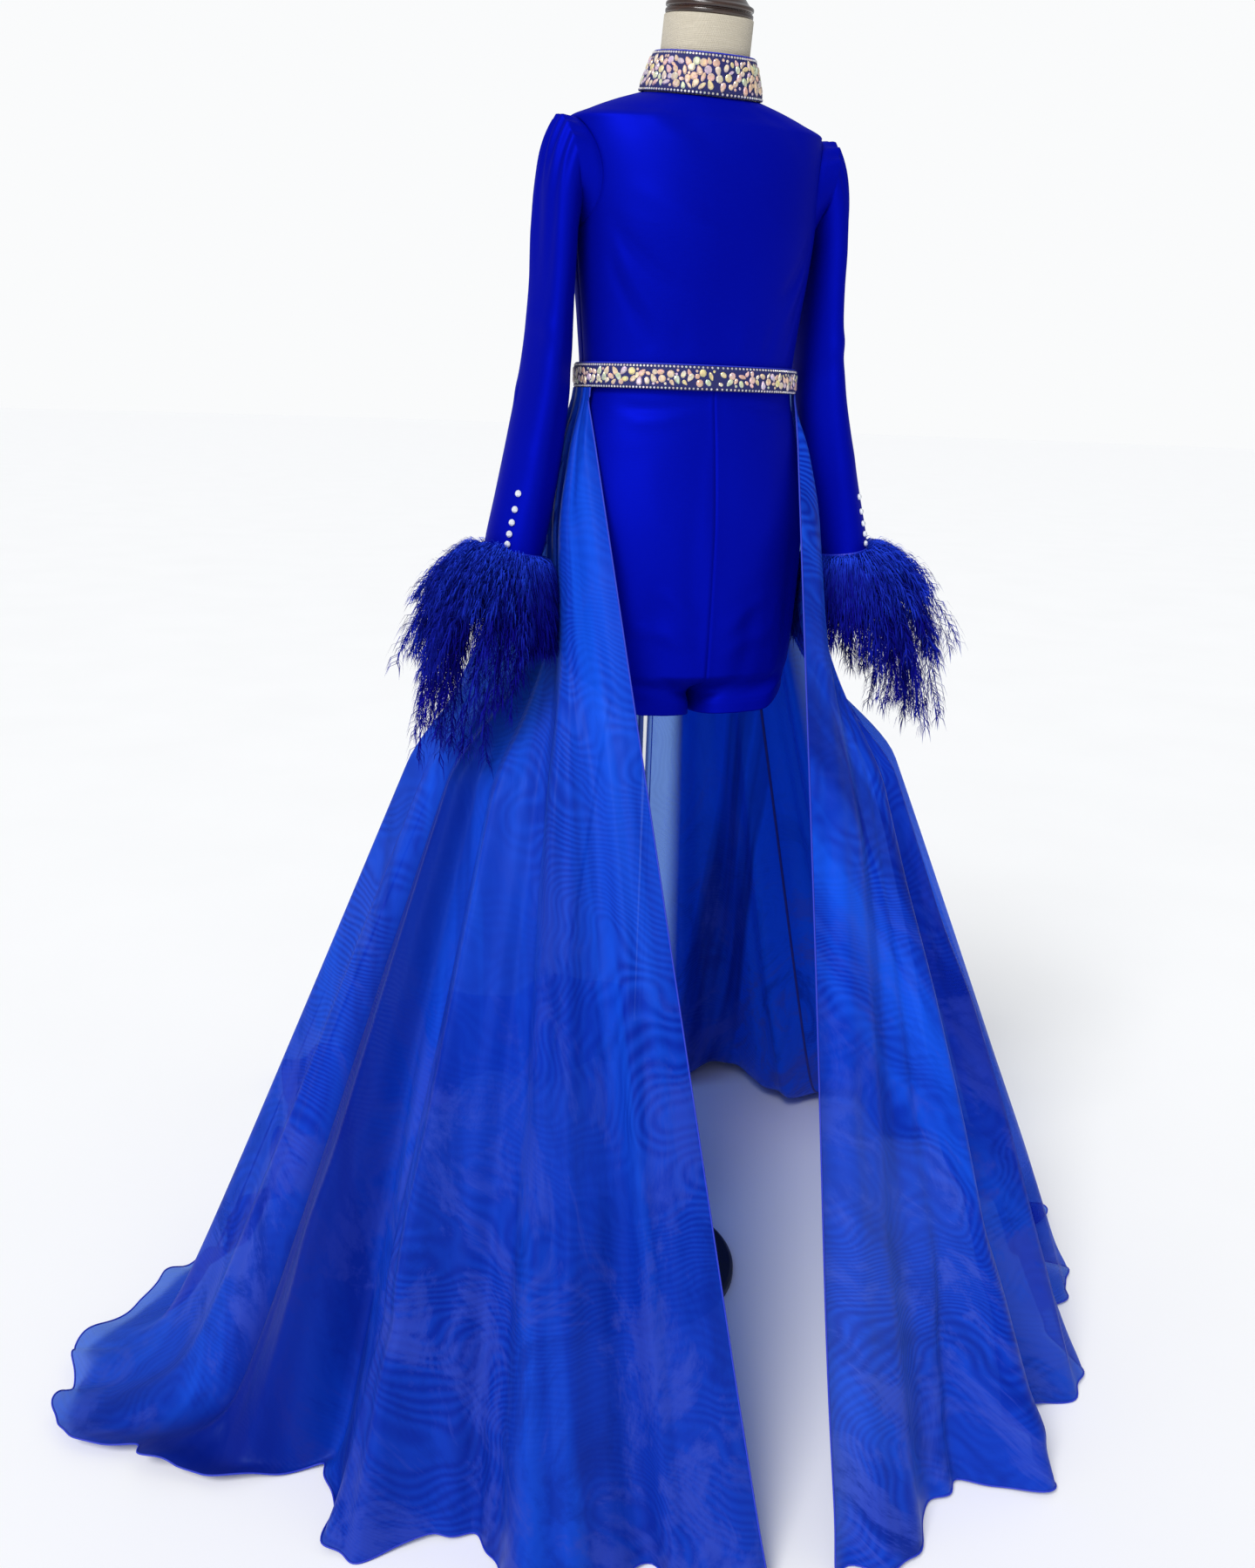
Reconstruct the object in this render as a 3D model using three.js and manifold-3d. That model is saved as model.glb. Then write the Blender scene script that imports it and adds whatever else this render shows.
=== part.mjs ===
// A pageant dress on a limbless dress form. A long-sleeved romper has a beaded collar and belt and feather
// cuffs, and a sheer overskirt that is open at the front hangs from the belt to the floor and trains behind.
// Millimetres, +Z up. The origin is on the floor under the pole, and the garment's front faces -Y. The names
// left and right are the wearer's: right is the -X side.
import * as THREE from 'three';
import Module from 'manifold-3d';
import { mergeVertices } from 'three/addons/utils/BufferGeometryUtils.js';

const wasm = await Module();
wasm.setup();

// ---- driving dimensions ------------------------------------------------------------------------------
const SEAM_GAP = 0.3;
const CLOTH = 1.6;
const ORGANZA = 1.3;
const CENTRE_X = 23;
const CENTRE_Y = -30;
const SQUARENESS = 2.25;

// Outer surface of the romper's torso: a ring for each height. forward moves its centre towards the front and
// tilt lifts it towards the back.
const TORSO = [
  { height: 758, wide: 123, deep: 93, forward: 0, tilt: 0 },
  { height: 797, wide: 128, deep: 96, forward: 0, tilt: 0 },
  { height: 850, wide: 133, deep: 99, forward: 0, tilt: 0 },
  { height: 950, wide: 137, deep: 101, forward: 0, tilt: 0 },
  { height: 1040, wide: 127, deep: 92, forward: 0, tilt: 0 },
  { height: 1108, wide: 115, deep: 82, forward: 0, tilt: 0 },
  { height: 1165, wide: 119, deep: 87, forward: 1, tilt: 0 },
  { height: 1220, wide: 125, deep: 93, forward: 3, tilt: 0 },
  { height: 1255, wide: 128, deep: 96, forward: 4, tilt: 0.01 },
  { height: 1290, wide: 131, deep: 93, forward: 4, tilt: 0.02 },
  { height: 1330, wide: 134, deep: 86, forward: 4, tilt: 0.05 },
  { height: 1356, wide: 134, deep: 76, forward: 4, tilt: 0.08 },
  { height: 1367, wide: 112, deep: 68.5, forward: 5, tilt: 0.11 },
  { height: 1377, wide: 86, deep: 62, forward: 6, tilt: 0.14 },
  { height: 1385, wide: 59.5, deep: 55, forward: 8, tilt: 0.17 },
];
const WAIST = 1108;
const HIP_SEAM = 830;
const NECK_EDGE = 1385;
const BODICE_LEVELS = [1108.3, 1136, 1165, 1220, 1255, 1272, 1290, 1309, 1330, 1344, 1356, 1367, 1377, 1385];
const SHORTS_LEVELS = [1107.7, 1075, 1040, 995, 950, 890, 830];
const HALF_COLUMNS = 12;
const ARMHOLE = { middle: 1305, reach: 51, turn: 30 };
const TORSO_MEAN_RADIUS = 110;

// Dress form under the cloth.
const FORM_CLEARANCE = 0.8;
const FORM_DEEPER_AT_HIP = 1.2;
const FORM_DEEPER_AT_ARMHOLE = 6;
const FORM_ARMHOLE_FROM = 1222;
const FORM_ARMHOLE_TO = 1374;
const FORM_ARMHOLE_BLEND = { below: 28, above: 20 };
const FORM_HIP_BLEND = 68;
const FORM_BOTTOM = 797;
const FORM_FOOT = [
  { height: 797, wide: 92, deep: 66 },
  { height: 803, wide: 108, deep: 78 },
  { height: 816, wide: 120, deep: 88 },
];
const FORM_LEVELS = [
  840, 890, 950, 995, 1040, 1075, 1108, 1136, 1165, 1220, 1255, 1290, 1330, 1356, 1367, 1377, 1385,
];
const NECK_LEAN = 12;
const NECK = [
  { along: 7, wide: 51, deep: 49 },
  { along: 15, wide: 46, deep: 45.5 },
  { along: 28, wide: 43.8, deep: 44.5 },
  { along: 71, wide: 43.3, deep: 44 },
];
const NECK_TOP = 71;
const CAP_PROFILE = [[0, 0], [43.8, 0], [43.8, 10], [39, 12], [29, 24], [14, 30.4], [0, 32]];
const CAP_SEGMENTS = 20;

// Stand: base plate, lower tube, hub with its clamp knob, and the rod that carries the form.
const BASE_RADIUS = 142;
const BASE_THICK = 12;
const BASE_BOSS_RADIUS = 34;
const BASE_BOSS_TOP = 26;
const BASE_BEVEL = { wide: 4, high: 3 };
const ROUND_SEGMENTS = 20;
const TUBE_SEGMENTS = 16;
const KNOB_SEGMENTS = 12;
const TUBE_RADIUS = 19;
const HUB_RADIUS = 24;
const HUB_LOW = 300;
const HUB_HIGH = 350;
const HUB_FOOT = { wide: 2, high: 4 };
const HUB_SHOULDER = { wide: 8, high: 10 };
const KNOB_PROFILE = [[0, 18], [5, 18], [5, 36], [15, 39], [15, 50], [10, 54], [0, 54]];
const KNOB_TURN = -150;
const ROD_RADIUS = 11;

// Collar and belt: a plain inside under rows of raised stones.
const COLLAR = { height: 36, wideTop: 48.5, deepTop: 49.5, standOff: 1.2, thick: 2.4 };
const COLLAR_STONES = { around: 28, rows: 3, raise: 3.2 };
const BELT = { low: 1100, high: 1123.5, standOff: 3.7, thick: 2.3 };
const BELT_STONES = { around: 42, rows: 2, raise: 2.8 };
const STONE_RIM = 0.7;
const STRIP_CLOSURE_TURN = 0.08;

// Sleeves: rings from the cap down to the cuff. out is the distance from the body's centre, lean is the angle
// of the ring from level, wide is its half size across the body and deep its half size front to back.
const SLEEVE = [
  { out: 139.5, height: 1312, forward: 4, lean: 78, wide: 45, deep: 46 },
  { out: 146.5, height: 1284, forward: 4, lean: 42, wide: 27, deep: 47 },
  { out: 149.5, height: 1250, forward: 4, lean: 14, wide: 21, deep: 46 },
  { out: 150.5, height: 1210, forward: 3, lean: 3, wide: 21, deep: 44 },
  { out: 153, height: 1160, forward: 2, lean: 2, wide: 22.5, deep: 43 },
  { out: 158, height: 1105, forward: 2, lean: 5, wide: 25.5, deep: 44 },
  { out: 167, height: 1050, forward: 3, lean: 7, wide: 28, deep: 45.5 },
  { out: 180, height: 985, forward: 5, lean: 9, wide: 29.5, deep: 46.5 },
  { out: 189, height: 945, forward: 7, lean: 10, wide: 30, deep: 46 },
  { out: 194, height: 918, forward: 8, lean: 10, wide: 28.5, deep: 44.5 },
];
const SLEEVE_COLUMNS = 20;
const SLEEVE_SEAM = 0.955;
const CAP_GATHER = 1.8;
const CAP_GATHER_ROWS = 2.4;
const CAP_GATHER_SPAN = 75;
const CAP_GATHER_FADE = 30;
const SLEEVE_OFF_BODICE = 0.4;
const SLEEVE_MID_CAP = -0.4;

// Leg part of the shorts: below the hip seam each half closes round its own leg.
const LEG = { out: 60.6, wide: 60.3, deep: 86, squareness: 2.2, squarenessInside: 4 };
const LEG_HEM_INNER = 758;
const LEG_HEM_FRONT = 763;
const LEG_HEM_SIDE = 799;
const LEG_ROWS = [0.24, 0.44, 0.58, 0.72, 0.86, 1];
const LEG_TURN_START = 0.32;
const LEG_TURN_END = 0.86;
const LEG_COLUMNS = 8;
const LEG_HEM_RISES_FROM = 0.45;
const LEG_ROUNDS_OFF = { from: 0.3, to: 0.7 };
const LEG_HALF_ROUND = 150;

// Overskirt. turn is the angle on the waist, from the wearer's left through the front; x and y are where the
// cloth meets the floor; hug is the height down to which it lies on the hips; pressed is how far the sleeve
// holds it in; train is what lies on the floor; fold is the depth of the folds at the floor; waves counts
// the folds so far.
const SKIRT = [
  { turn: 163, x: -30, y: -515, hug: 1085, pressed: 0, train: 0, fold: 5, waves: 0 },
  { turn: 169, x: -190, y: -480, hug: 1070, pressed: 0.4, train: 0, fold: 24, waves: 1 },
  { turn: 177, x: -350, y: -375, hug: 1060, pressed: 1, train: 0, fold: 34, waves: 2 },
  { turn: 187, x: -455, y: -235, hug: 1060, pressed: 1, train: 20, fold: 36, waves: 3 },
  { turn: 196, x: -528, y: -112, hug: 1060, pressed: 1, train: 140, fold: 10, waves: 4 },
  { turn: 207, x: -562, y: 0, hug: 1075, pressed: 0.6, train: 95, fold: 8, waves: 5.2 },
  { turn: 220, x: -482, y: 158, hug: 1070, pressed: 0, train: 30, fold: 8, waves: 6.6 },
  { turn: 236, x: -385, y: 300, hug: 1070, pressed: 0, train: 45, fold: 11, waves: 8 },
  { turn: 253, x: -220, y: 430, hug: 1060, pressed: 0, train: 250, fold: 26, waves: 9.4 },
  { turn: 270, x: 20, y: 480, hug: 1060, pressed: 0, train: 370, fold: 34, waves: 10.7 },
  { turn: 288, x: 240, y: 430, hug: 1060, pressed: 0, train: 310, fold: 36, waves: 11.9 },
  { turn: 306, x: 420, y: 300, hug: 1060, pressed: 0, train: 200, fold: 36, waves: 13 },
  { turn: 324, x: 520, y: 130, hug: 1050, pressed: 0, train: 90, fold: 34, waves: 14.1 },
  { turn: 340, x: 545, y: -50, hug: 1030, pressed: 0.6, train: 30, fold: 32, waves: 15.2 },
  { turn: 354, x: 525, y: -200, hug: 1045, pressed: 1, train: 0, fold: 30, waves: 16.3 },
  { turn: 366, x: 388, y: -380, hug: 1045, pressed: 1, train: 0, fold: 32, waves: 17.4 },
  { turn: 377, x: 250, y: -480, hug: 1060, pressed: 0.5, train: 0, fold: 28, waves: 18.5 },
  { turn: 387, x: 36, y: -525, hug: 1085, pressed: 0, train: 0, fold: 5, waves: 19.5 },
];
const PRESS_FROM = 885;
const PRESS_TO = 690;
const SKIRT_TOP = 1099.6;
const SKIRT_STAND_OFF = 5.2;
const SKIRT_HIP_EASE = 3;
const SKIRT_EASES_OVER = 60;
const SKIRT_SEAM_TURN = 0.09;
const SKIRT_PANELS = [
  { name: 'overskirt_side_right', from: 163, to: 234 },
  { name: 'overskirt_back_right', from: 234, to: 270 },
  { name: 'overskirt_back_left', from: 270, to: 306 },
  { name: 'overskirt_side_left', from: 306, to: 387 },
];
const SKIRT_COLUMNS_A_WAVE = 3.6;
const SKIRT_ROWS = [0, 0.035, 0.09, 0.17, 0.27, 0.38, 0.5, 0.62, 0.73, 0.83, 0.92, 1];
const SKIRT_GATHER = 1.2;
const SKIRT_GATHER_GROWS = 0.6;
const FOLD_OPENS = 1.15;
const TRAIN_BEND = 46;
const TRAIN_RIPPLE = 13;
const TRAIN_RIPPLES_OVER = 120;
const TRAIN_SETTLES = { from: 30, to: 160 };

// Feather cuffs: strands in rings on a narrow strip round the sleeve's end. rise is a strand's angle above
// level along its length, on the side that faces away from the body.
const CUFF_STRIP = { start: 8.42, end: 8.86, off: 0.6, thick: 2.6 };
const CUFF_RINGS = [
  { along: 8.46, length: 122, rise: [-6, -52] },
  { along: 8.64, length: 182, rise: [-32, -68] },
  { along: 8.82, length: 246, rise: [-46, -71, -83] },
];
const CUFF_STRANDS_A_RING = 19;
const STRAND_ROOT = 1.9;
const STRAND_THIN = [1, 0.8, 0.45];
const STRAND_TURN_AWAY = [0.2, 0.5, 0.6];
const STRAND_STEEPEST = -72;
const STRAND_SIDES = 3;
const STRAND_UNEVEN = { share: 0.1, strand: 2.4, ring: 1.7 };
const CUFF_LEAN = { left: { x: 0.86, y: -0.35 }, right: { x: -0.86, y: -0.42 } };
const CUFF_SHORTEST = 0.2;

// Buttons up the outer front edge of each sleeve.
const BUTTON_RADIUS = 3.4;
const BUTTON_HEIGHT = 3;
const BUTTON_TURN = 58;
const BUTTON_SIDES = 8;
const BUTTON_TABLE = 0.6;
const BUTTON_ALONG = [6.9, 7.23, 7.55, 7.87, 8.2];

// Small steps along each surface between which its normal is measured.
const NORMAL_STEPS = {
  torso: [0.4, 0.25],
  shorts: [0.004, 0.4],
  sleeve: [0.5, 0.02],
  strip: [0.5, 0.02],
  skirt: [0.2, 0.003],
};

// ---- materials ---------------------------------------------------------------------------------------
const MATERIALS = {
  satin: new THREE.MeshStandardMaterial({ color: 0x0a2bc8, roughness: 0.38, metalness: 0 }),
  organza: new THREE.MeshStandardMaterial({ color: 0x2340b8, roughness: 0.45, metalness: 0 }),
  beading: new THREE.MeshStandardMaterial({ color: 0x9fb2d8, roughness: 0.15, metalness: 0.3 }),
  feather: new THREE.MeshStandardMaterial({ color: 0x2a4fd0, roughness: 0.8, metalness: 0 }),
  rhinestone: new THREE.MeshStandardMaterial({ color: 0xe6ecf8, roughness: 0.08, metalness: 0.5 }),
  linen: new THREE.MeshStandardMaterial({ color: 0xd9cfb8, roughness: 0.9, metalness: 0 }),
  wood: new THREE.MeshStandardMaterial({ color: 0x2e1a10, roughness: 0.3, metalness: 0 }),
  chrome: new THREE.MeshStandardMaterial({ color: 0xd0d3d8, roughness: 0.12, metalness: 1 }),
  blackMetal: new THREE.MeshStandardMaterial({ color: 0x16161a, roughness: 0.4, metalness: 0.6 }),
};

// ---- small helpers -----------------------------------------------------------------------------------
const radians = THREE.MathUtils.degToRad;
const lerp = THREE.MathUtils.lerp;
const within = (x, from, to, margin) => THREE.MathUtils.clamp(x, from + margin, to - margin);
const smoothstep = (x, from, to) => THREE.MathUtils.smoothstep(x, from, to);
const count = (n) => Array.from({ length: n }, (_, i) => i);
const steps = (from, to, cells) => count(cells + 1).map((i) => lerp(from, to, i / cells));
const signedPower = (value, power) => Math.sign(value) * Math.abs(value) ** power;

// Value of a table's column at a key, on a smooth curve that stays between neighbouring rows.
function readTable(table, key, column, at) {
  const last = table.length - 1;
  const x = THREE.MathUtils.clamp(at, table[0][key], table[last][key]);
  let row = 0;
  while (row < last - 1 && x > table[row + 1][key]) row += 1;
  const slope = (i) => (table[i + 1][column] - table[i][column]) / (table[i + 1][key] - table[i][key]);
  const tangent = (i) => {
    if (i === 0) return slope(0);
    if (i === last) return slope(last - 1);
    const before = slope(i - 1);
    const after = slope(i);
    return before * after <= 0 ? 0 : (2 * before * after) / (before + after);
  };
  const width = table[row + 1][key] - table[row][key];
  const u = (x - table[row][key]) / width;
  const from = table[row][column];
  const to = table[row + 1][column];
  const c = u * u * (3 - 2 * u);
  return from + (to - from) * c + width * u * (1 - u) * ((1 - u) * tangent(row) - u * tangent(row + 1));
}

// Row numbers stand in as the key of a table without one.
const numbered = (table) => table.map((row, at) => ({ ...row, at }));

function meshFromTriangles(positions, indices) {
  const geometry = new THREE.BufferGeometry();
  geometry.setAttribute('position', new THREE.Float32BufferAttribute(positions, 3));
  geometry.setIndex(indices);
  return geometry;
}

// Outward normal of a surface point(u, v), by small steps to both sides.
function surfaceNormal(point, u, v, du, dv, flip) {
  const alongU = point(u + du, v).sub(point(u - du, v));
  const alongV = point(u, v + dv).sub(point(u, v - dv));
  const normal = alongU.cross(alongV).normalize();
  return flip ? normal.negate() : normal;
}

// A closed wall. outer and inner are grids of points with as many columns; inner may have fewer rows, as
// only its first and last are needed for a plain inside. Each grid runs in rows of equal length.
function wallGeometry(outer, inner, ringClosed) {
  const columns = outer[0].length;
  const positions = [];
  const indices = [];
  const put = (grid) => grid.map((row) => row.map((p) => positions.push(p.x, p.y, p.z) / 3 - 1));
  const out = put(outer);
  const ins = put(inner);
  const quad = (a, b, c, d) => indices.push(a, b, c, a, c, d);
  const cells = ringClosed ? columns : columns - 1;
  for (let i = 0; i < cells; i += 1) {
    const n = (i + 1) % columns;
    out.slice(1).forEach((next, j) => quad(out[j][i], out[j][n], next[n], next[i]));
    ins.slice(1).forEach((next, j) => quad(ins[j][i], next[i], next[n], ins[j][n]));
    quad(ins[0][i], ins[0][n], out[0][n], out[0][i]);
    quad(out.at(-1)[i], out.at(-1)[n], ins.at(-1)[n], ins.at(-1)[i]);
  }
  if (!ringClosed) {
    stitchEnd(out.map((row) => row[0]), ins.map((row) => row[0]), indices, false);
    stitchEnd(out.map((row) => row[columns - 1]), ins.map((row) => row[columns - 1]), indices, true);
  }
  return meshFromTriangles(positions, indices);
}

// The end face of an open wall, between its outer and inner edge, which may have different numbers of points.
function stitchEnd(outerEdge, innerEdge, indices, flip) {
  const push = (a, b, c) => (flip ? indices.push(a, b, c) : indices.push(a, c, b));
  let i = 0;
  let j = 0;
  while (i + 1 < outerEdge.length || j + 1 < innerEdge.length) {
    const outerNext = (i + 1) * (innerEdge.length - 1);
    const innerNext = (j + 1) * (outerEdge.length - 1);
    if (j + 1 >= innerEdge.length || (i + 1 < outerEdge.length && outerNext <= innerNext)) {
      push(outerEdge[i], innerEdge[j], outerEdge[i + 1]);
      i += 1;
    } else {
      push(outerEdge[i], innerEdge[j], innerEdge[j + 1]);
      j += 1;
    }
  }
}

// Cloth of even thickness under a surface point(u, v), or a ring when the first column follows the last.
function clothGeometry({ point, normal, us, vs, thick, ringClosed = false, floor = false }) {
  const outer = vs.map((v) => us(v).map((u) => point(u, v)));
  const under = (u, v, p) => p.clone().addScaledVector(normal(u, v), -thick);
  const inner = vs.map((v, j) => us(v).map((u, i) => under(u, v, outer[j][i])));
  if (floor) {
    outer.forEach((row) => row.forEach((p) => p.setZ(Math.max(p.z, thick))));
    inner.forEach((row) => row.forEach((p) => p.setZ(Math.max(p.z, 0))));
  }
  return wallGeometry(outer, inner, ringClosed);
}

// ---- torso surface -----------------------------------------------------------------------------------
function ringPoint(turn, wide, deep, squareness = SQUARENESS) {
  const power = 2 / squareness;
  const c = signedPower(Math.cos(radians(turn)), power);
  const s = signedPower(Math.sin(radians(turn)), power);
  return new THREE.Vector2(wide * c, -deep * s);
}

function torsoPoint(turn, height) {
  const read = (column) => readTable(TORSO, 'height', column, height);
  const ring = ringPoint(turn, read('wide'), read('deep'));
  const y = CENTRE_Y - read('forward') + ring.y;
  return new THREE.Vector3(CENTRE_X + ring.x, y, height + read('tilt') * ring.y);
}

function torsoNormal(turn, height) {
  const [du, dv] = NORMAL_STEPS.torso;
  return surfaceNormal(torsoPoint, turn, Math.min(height, NECK_EDGE - dv), du, dv, true);
}

function torsoOff(turn, height, off) {
  return torsoPoint(turn, height).addScaledVector(torsoNormal(turn, height), off);
}

// ---- bodice ------------------------------------------------------------------------------------------
// Angle that the armhole takes from a panel's side at a height, 0 above and below it.
function armholeTurn(height) {
  const share = (height - ARMHOLE.middle) / ARMHOLE.reach;
  return Math.abs(share) >= 1 ? 0 : ARMHOLE.turn * Math.sqrt(1 - share * share);
}

function panelTurns(from, to, armholeAtFrom, armholeAtTo, cells) {
  const inset = SEAM_GAP / 2 / radians(1) / TORSO_MEAN_RADIUS;
  return (height) => {
    const cut = armholeTurn(height);
    const start = from + inset + (armholeAtFrom ? cut : 0);
    const end = to - inset - (armholeAtTo ? cut : 0);
    return steps(start, end, cells);
  };
}

function bodicePanel(name, from, to, armholeAtFrom, armholeAtTo, cells) {
  const geometry = clothGeometry({
    point: torsoPoint,
    normal: torsoNormal,
    us: panelTurns(from, to, armholeAtFrom, armholeAtTo, cells),
    vs: BODICE_LEVELS,
    thick: CLOTH,
  });
  return mesh(name, flipped(geometry), MATERIALS.satin);
}

// ---- shorts ------------------------------------------------------------------------------------------
// share runs from the centre seam (0) to the side seam (1). side is 1 on the left; face is 1 in front.
function legPoint(side, face, share, row) {
  const frontHem = lerp(LEG_HEM_INNER, LEG_HEM_FRONT, Math.min(1, share * 2));
  const hem = lerp(frontHem, LEG_HEM_SIDE, smoothstep(share, LEG_HEM_RISES_FROM, 1));
  const height = lerp(HIP_SEAM, hem, row);
  const turn = face > 0 ? 90 - side * 90 * share : 270 + side * 90 * share;
  const upper = torsoPoint(turn, Math.max(height, TORSO[0].height));
  const legTurn = 180 * (1 - share);
  const roundness = smoothstep(share, LEG_ROUNDS_OFF.from, LEG_ROUNDS_OFF.to);
  const squareness = lerp(LEG.squarenessInside, LEG.squareness, roundness);
  const ring = ringPoint(legTurn, LEG.wide, LEG.deep, squareness);
  const lower = new THREE.Vector3(
    CENTRE_X + side * (LEG.out + ring.x + SEAM_GAP / 2),
    CENTRE_Y + face * ring.y,
    height,
  );
  return upper.lerp(lower, smoothstep(row, LEG_TURN_START, LEG_TURN_END));
}

function shortsPoint(side, face) {
  return (share, level) => {
    if (level >= HIP_SEAM) {
      const turn = face > 0 ? 90 - side * 90 * share : 270 + side * 90 * share;
      return torsoPoint(turn, level);
    }
    return legPoint(side, face, share, (HIP_SEAM - level) / (HIP_SEAM - LEG_HEM_INNER));
  };
}

function shortsPanel(name, side, face) {
  const point = shortsPoint(side, face);
  const flip = side * face > 0;
  const inset = SEAM_GAP / 2 / LEG_HALF_ROUND;
  const [du, dv] = NORMAL_STEPS.shorts;
  const levels = [...SHORTS_LEVELS, ...LEG_ROWS.map((row) => lerp(HIP_SEAM, LEG_HEM_INNER, row))];
  const geometry = clothGeometry({
    point,
    normal: (u, v) => surfaceNormal(point, u, Math.max(v, LEG_HEM_INNER + dv), du, dv, !flip),
    us: () => steps(inset, 1 - inset, LEG_COLUMNS),
    vs: levels,
    thick: CLOTH,
  });
  return mesh(name, flip ? flipped(geometry) : geometry, MATERIALS.satin);
}

// ---- sleeves -----------------------------------------------------------------------------------------
const SLEEVE_ROWS = numbered(SLEEVE);

// turn: 0 on top or outside, 90 in front, 180 at the underarm or inside. along counts the table's rows, and
// from -1 to 0 the sleeve grows from the armhole.
function sleevePoint(side) {
  return (turn, along) => {
    const c = Math.cos(radians(turn));
    const s = Math.sin(radians(turn));
    const at = Math.max(along, 0);
    const read = (column) => readTable(SLEEVE_ROWS, 'at', column, at);
    const lean = radians(read('lean'));
    const fromTop = Math.abs(((turn + 180) % 360) - 180);
    const onTop = smoothstep(CAP_GATHER_SPAN - fromTop, 0, CAP_GATHER_FADE);
    const nearSeam = 1 - smoothstep(along, 0, CAP_GATHER_ROWS);
    const gather = CAP_GATHER * onTop * nearSeam * Math.cos((radians(turn) * SLEEVE_COLUMNS) / 2);
    const across = (read('wide') + gather) * c;
    const ring = new THREE.Vector3(
      CENTRE_X + side * (read('out') + across * Math.cos(lean)),
      CENTRE_Y - read('forward') - (read('deep') + gather) * s,
      read('height') + across * Math.sin(lean),
    );
    if (along >= 0) return ring;
    const height = ARMHOLE.middle + ARMHOLE.reach * SLEEVE_SEAM * c;
    const aside = ARMHOLE.turn * SLEEVE_SEAM * s;
    const edge = torsoOff(side > 0 ? aside : 180 - aside, height, SLEEVE_OFF_BODICE);
    return edge.lerp(ring, along + 1);
  };
}

function sleeveNormal(side) {
  const point = sleevePoint(side);
  const [du, dv] = NORMAL_STEPS.sleeve;
  const last = SLEEVE.length - 1;
  return (turn, along) => surfaceNormal(point, turn, within(along, -1, last, dv), du, dv, side < 0);
}

function sleeve(name, side) {
  const last = SLEEVE.length - 1;
  const rows = [-1, SLEEVE_MID_CAP, ...count(last + 1)];
  const turns = count(SLEEVE_COLUMNS).map((i) => (360 * i) / SLEEVE_COLUMNS);
  const geometry = clothGeometry({
    point: sleevePoint(side),
    normal: sleeveNormal(side),
    us: () => turns,
    vs: rows,
    thick: CLOTH,
    ringClosed: true,
  });
  return mesh(name, side > 0 ? geometry : flipped(geometry), MATERIALS.satin);
}

// ---- collar and belt ---------------------------------------------------------------------------------
// A strip round the body with stones raised in its outer points, closed at the back.
function studdedStrip({ name, point, stones, thick }) {
  const [du, dv] = NORMAL_STEPS.strip;
  const normal = (u, v) => surfaceNormal(point, u, within(v, 0, 1, dv), du, dv, true);
  const columns = steps(-90 + STRIP_CLOSURE_TURN, 270 - STRIP_CLOSURE_TURN, stones.around * 2);
  const rows = [0, ...count(stones.rows * 2 - 1).map((k) => (k + 1) / (stones.rows * 2)), 1];
  const raised = (i, j) => {
    const inRow = j % 2 === 1;
    const row = (j - 1) / 2;
    const inColumn = (i + row) % 2 === 1;
    const inside = i > 0 && i < columns.length - 1;
    return inRow && inColumn && inside ? stones.raise : j % 2 === 0 ? 0 : STONE_RIM;
  };
  const off = (u, v, distance) => point(u, v).addScaledVector(normal(u, v), distance);
  const outer = rows.map((v, j) => columns.map((u, i) => off(u, v, raised(i, j))));
  const inner = [0, 1].map((v) => columns.map((u) => off(u, v, -thick)));
  return mesh(name, flipped(wallGeometry(outer, inner, false)), MATERIALS.beading);
}

function collarPoint(turn, share) {
  const start = TORSO[TORSO.length - 1];
  const wide = lerp(start.wide + COLLAR.standOff, COLLAR.wideTop, share);
  const deep = lerp(start.deep + COLLAR.standOff, COLLAR.deepTop, share);
  const ring = ringPoint(turn, wide, deep);
  const rise = SEAM_GAP * 2 + COLLAR.height * share;
  const lean = radians(NECK_LEAN);
  return new THREE.Vector3(
    CENTRE_X + ring.x,
    CENTRE_Y - start.forward + ring.y - rise * Math.sin(lean),
    NECK_EDGE + start.tilt * ring.y + rise * Math.cos(lean),
  );
}

function collar() {
  return studdedStrip({ name: 'collar', point: collarPoint, stones: COLLAR_STONES, thick: COLLAR.thick });
}

function belt() {
  const point = (turn, share) => {
    const wide = readTable(TORSO, 'height', 'wide', WAIST);
    const deep = readTable(TORSO, 'height', 'deep', WAIST);
    const ring = ringPoint(turn, wide + BELT.standOff, deep + BELT.standOff);
    return new THREE.Vector3(CENTRE_X + ring.x, CENTRE_Y + ring.y, lerp(BELT.low, BELT.high, share));
  };
  return studdedStrip({ name: 'belt', point, stones: BELT_STONES, thick: BELT.thick });
}

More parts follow.
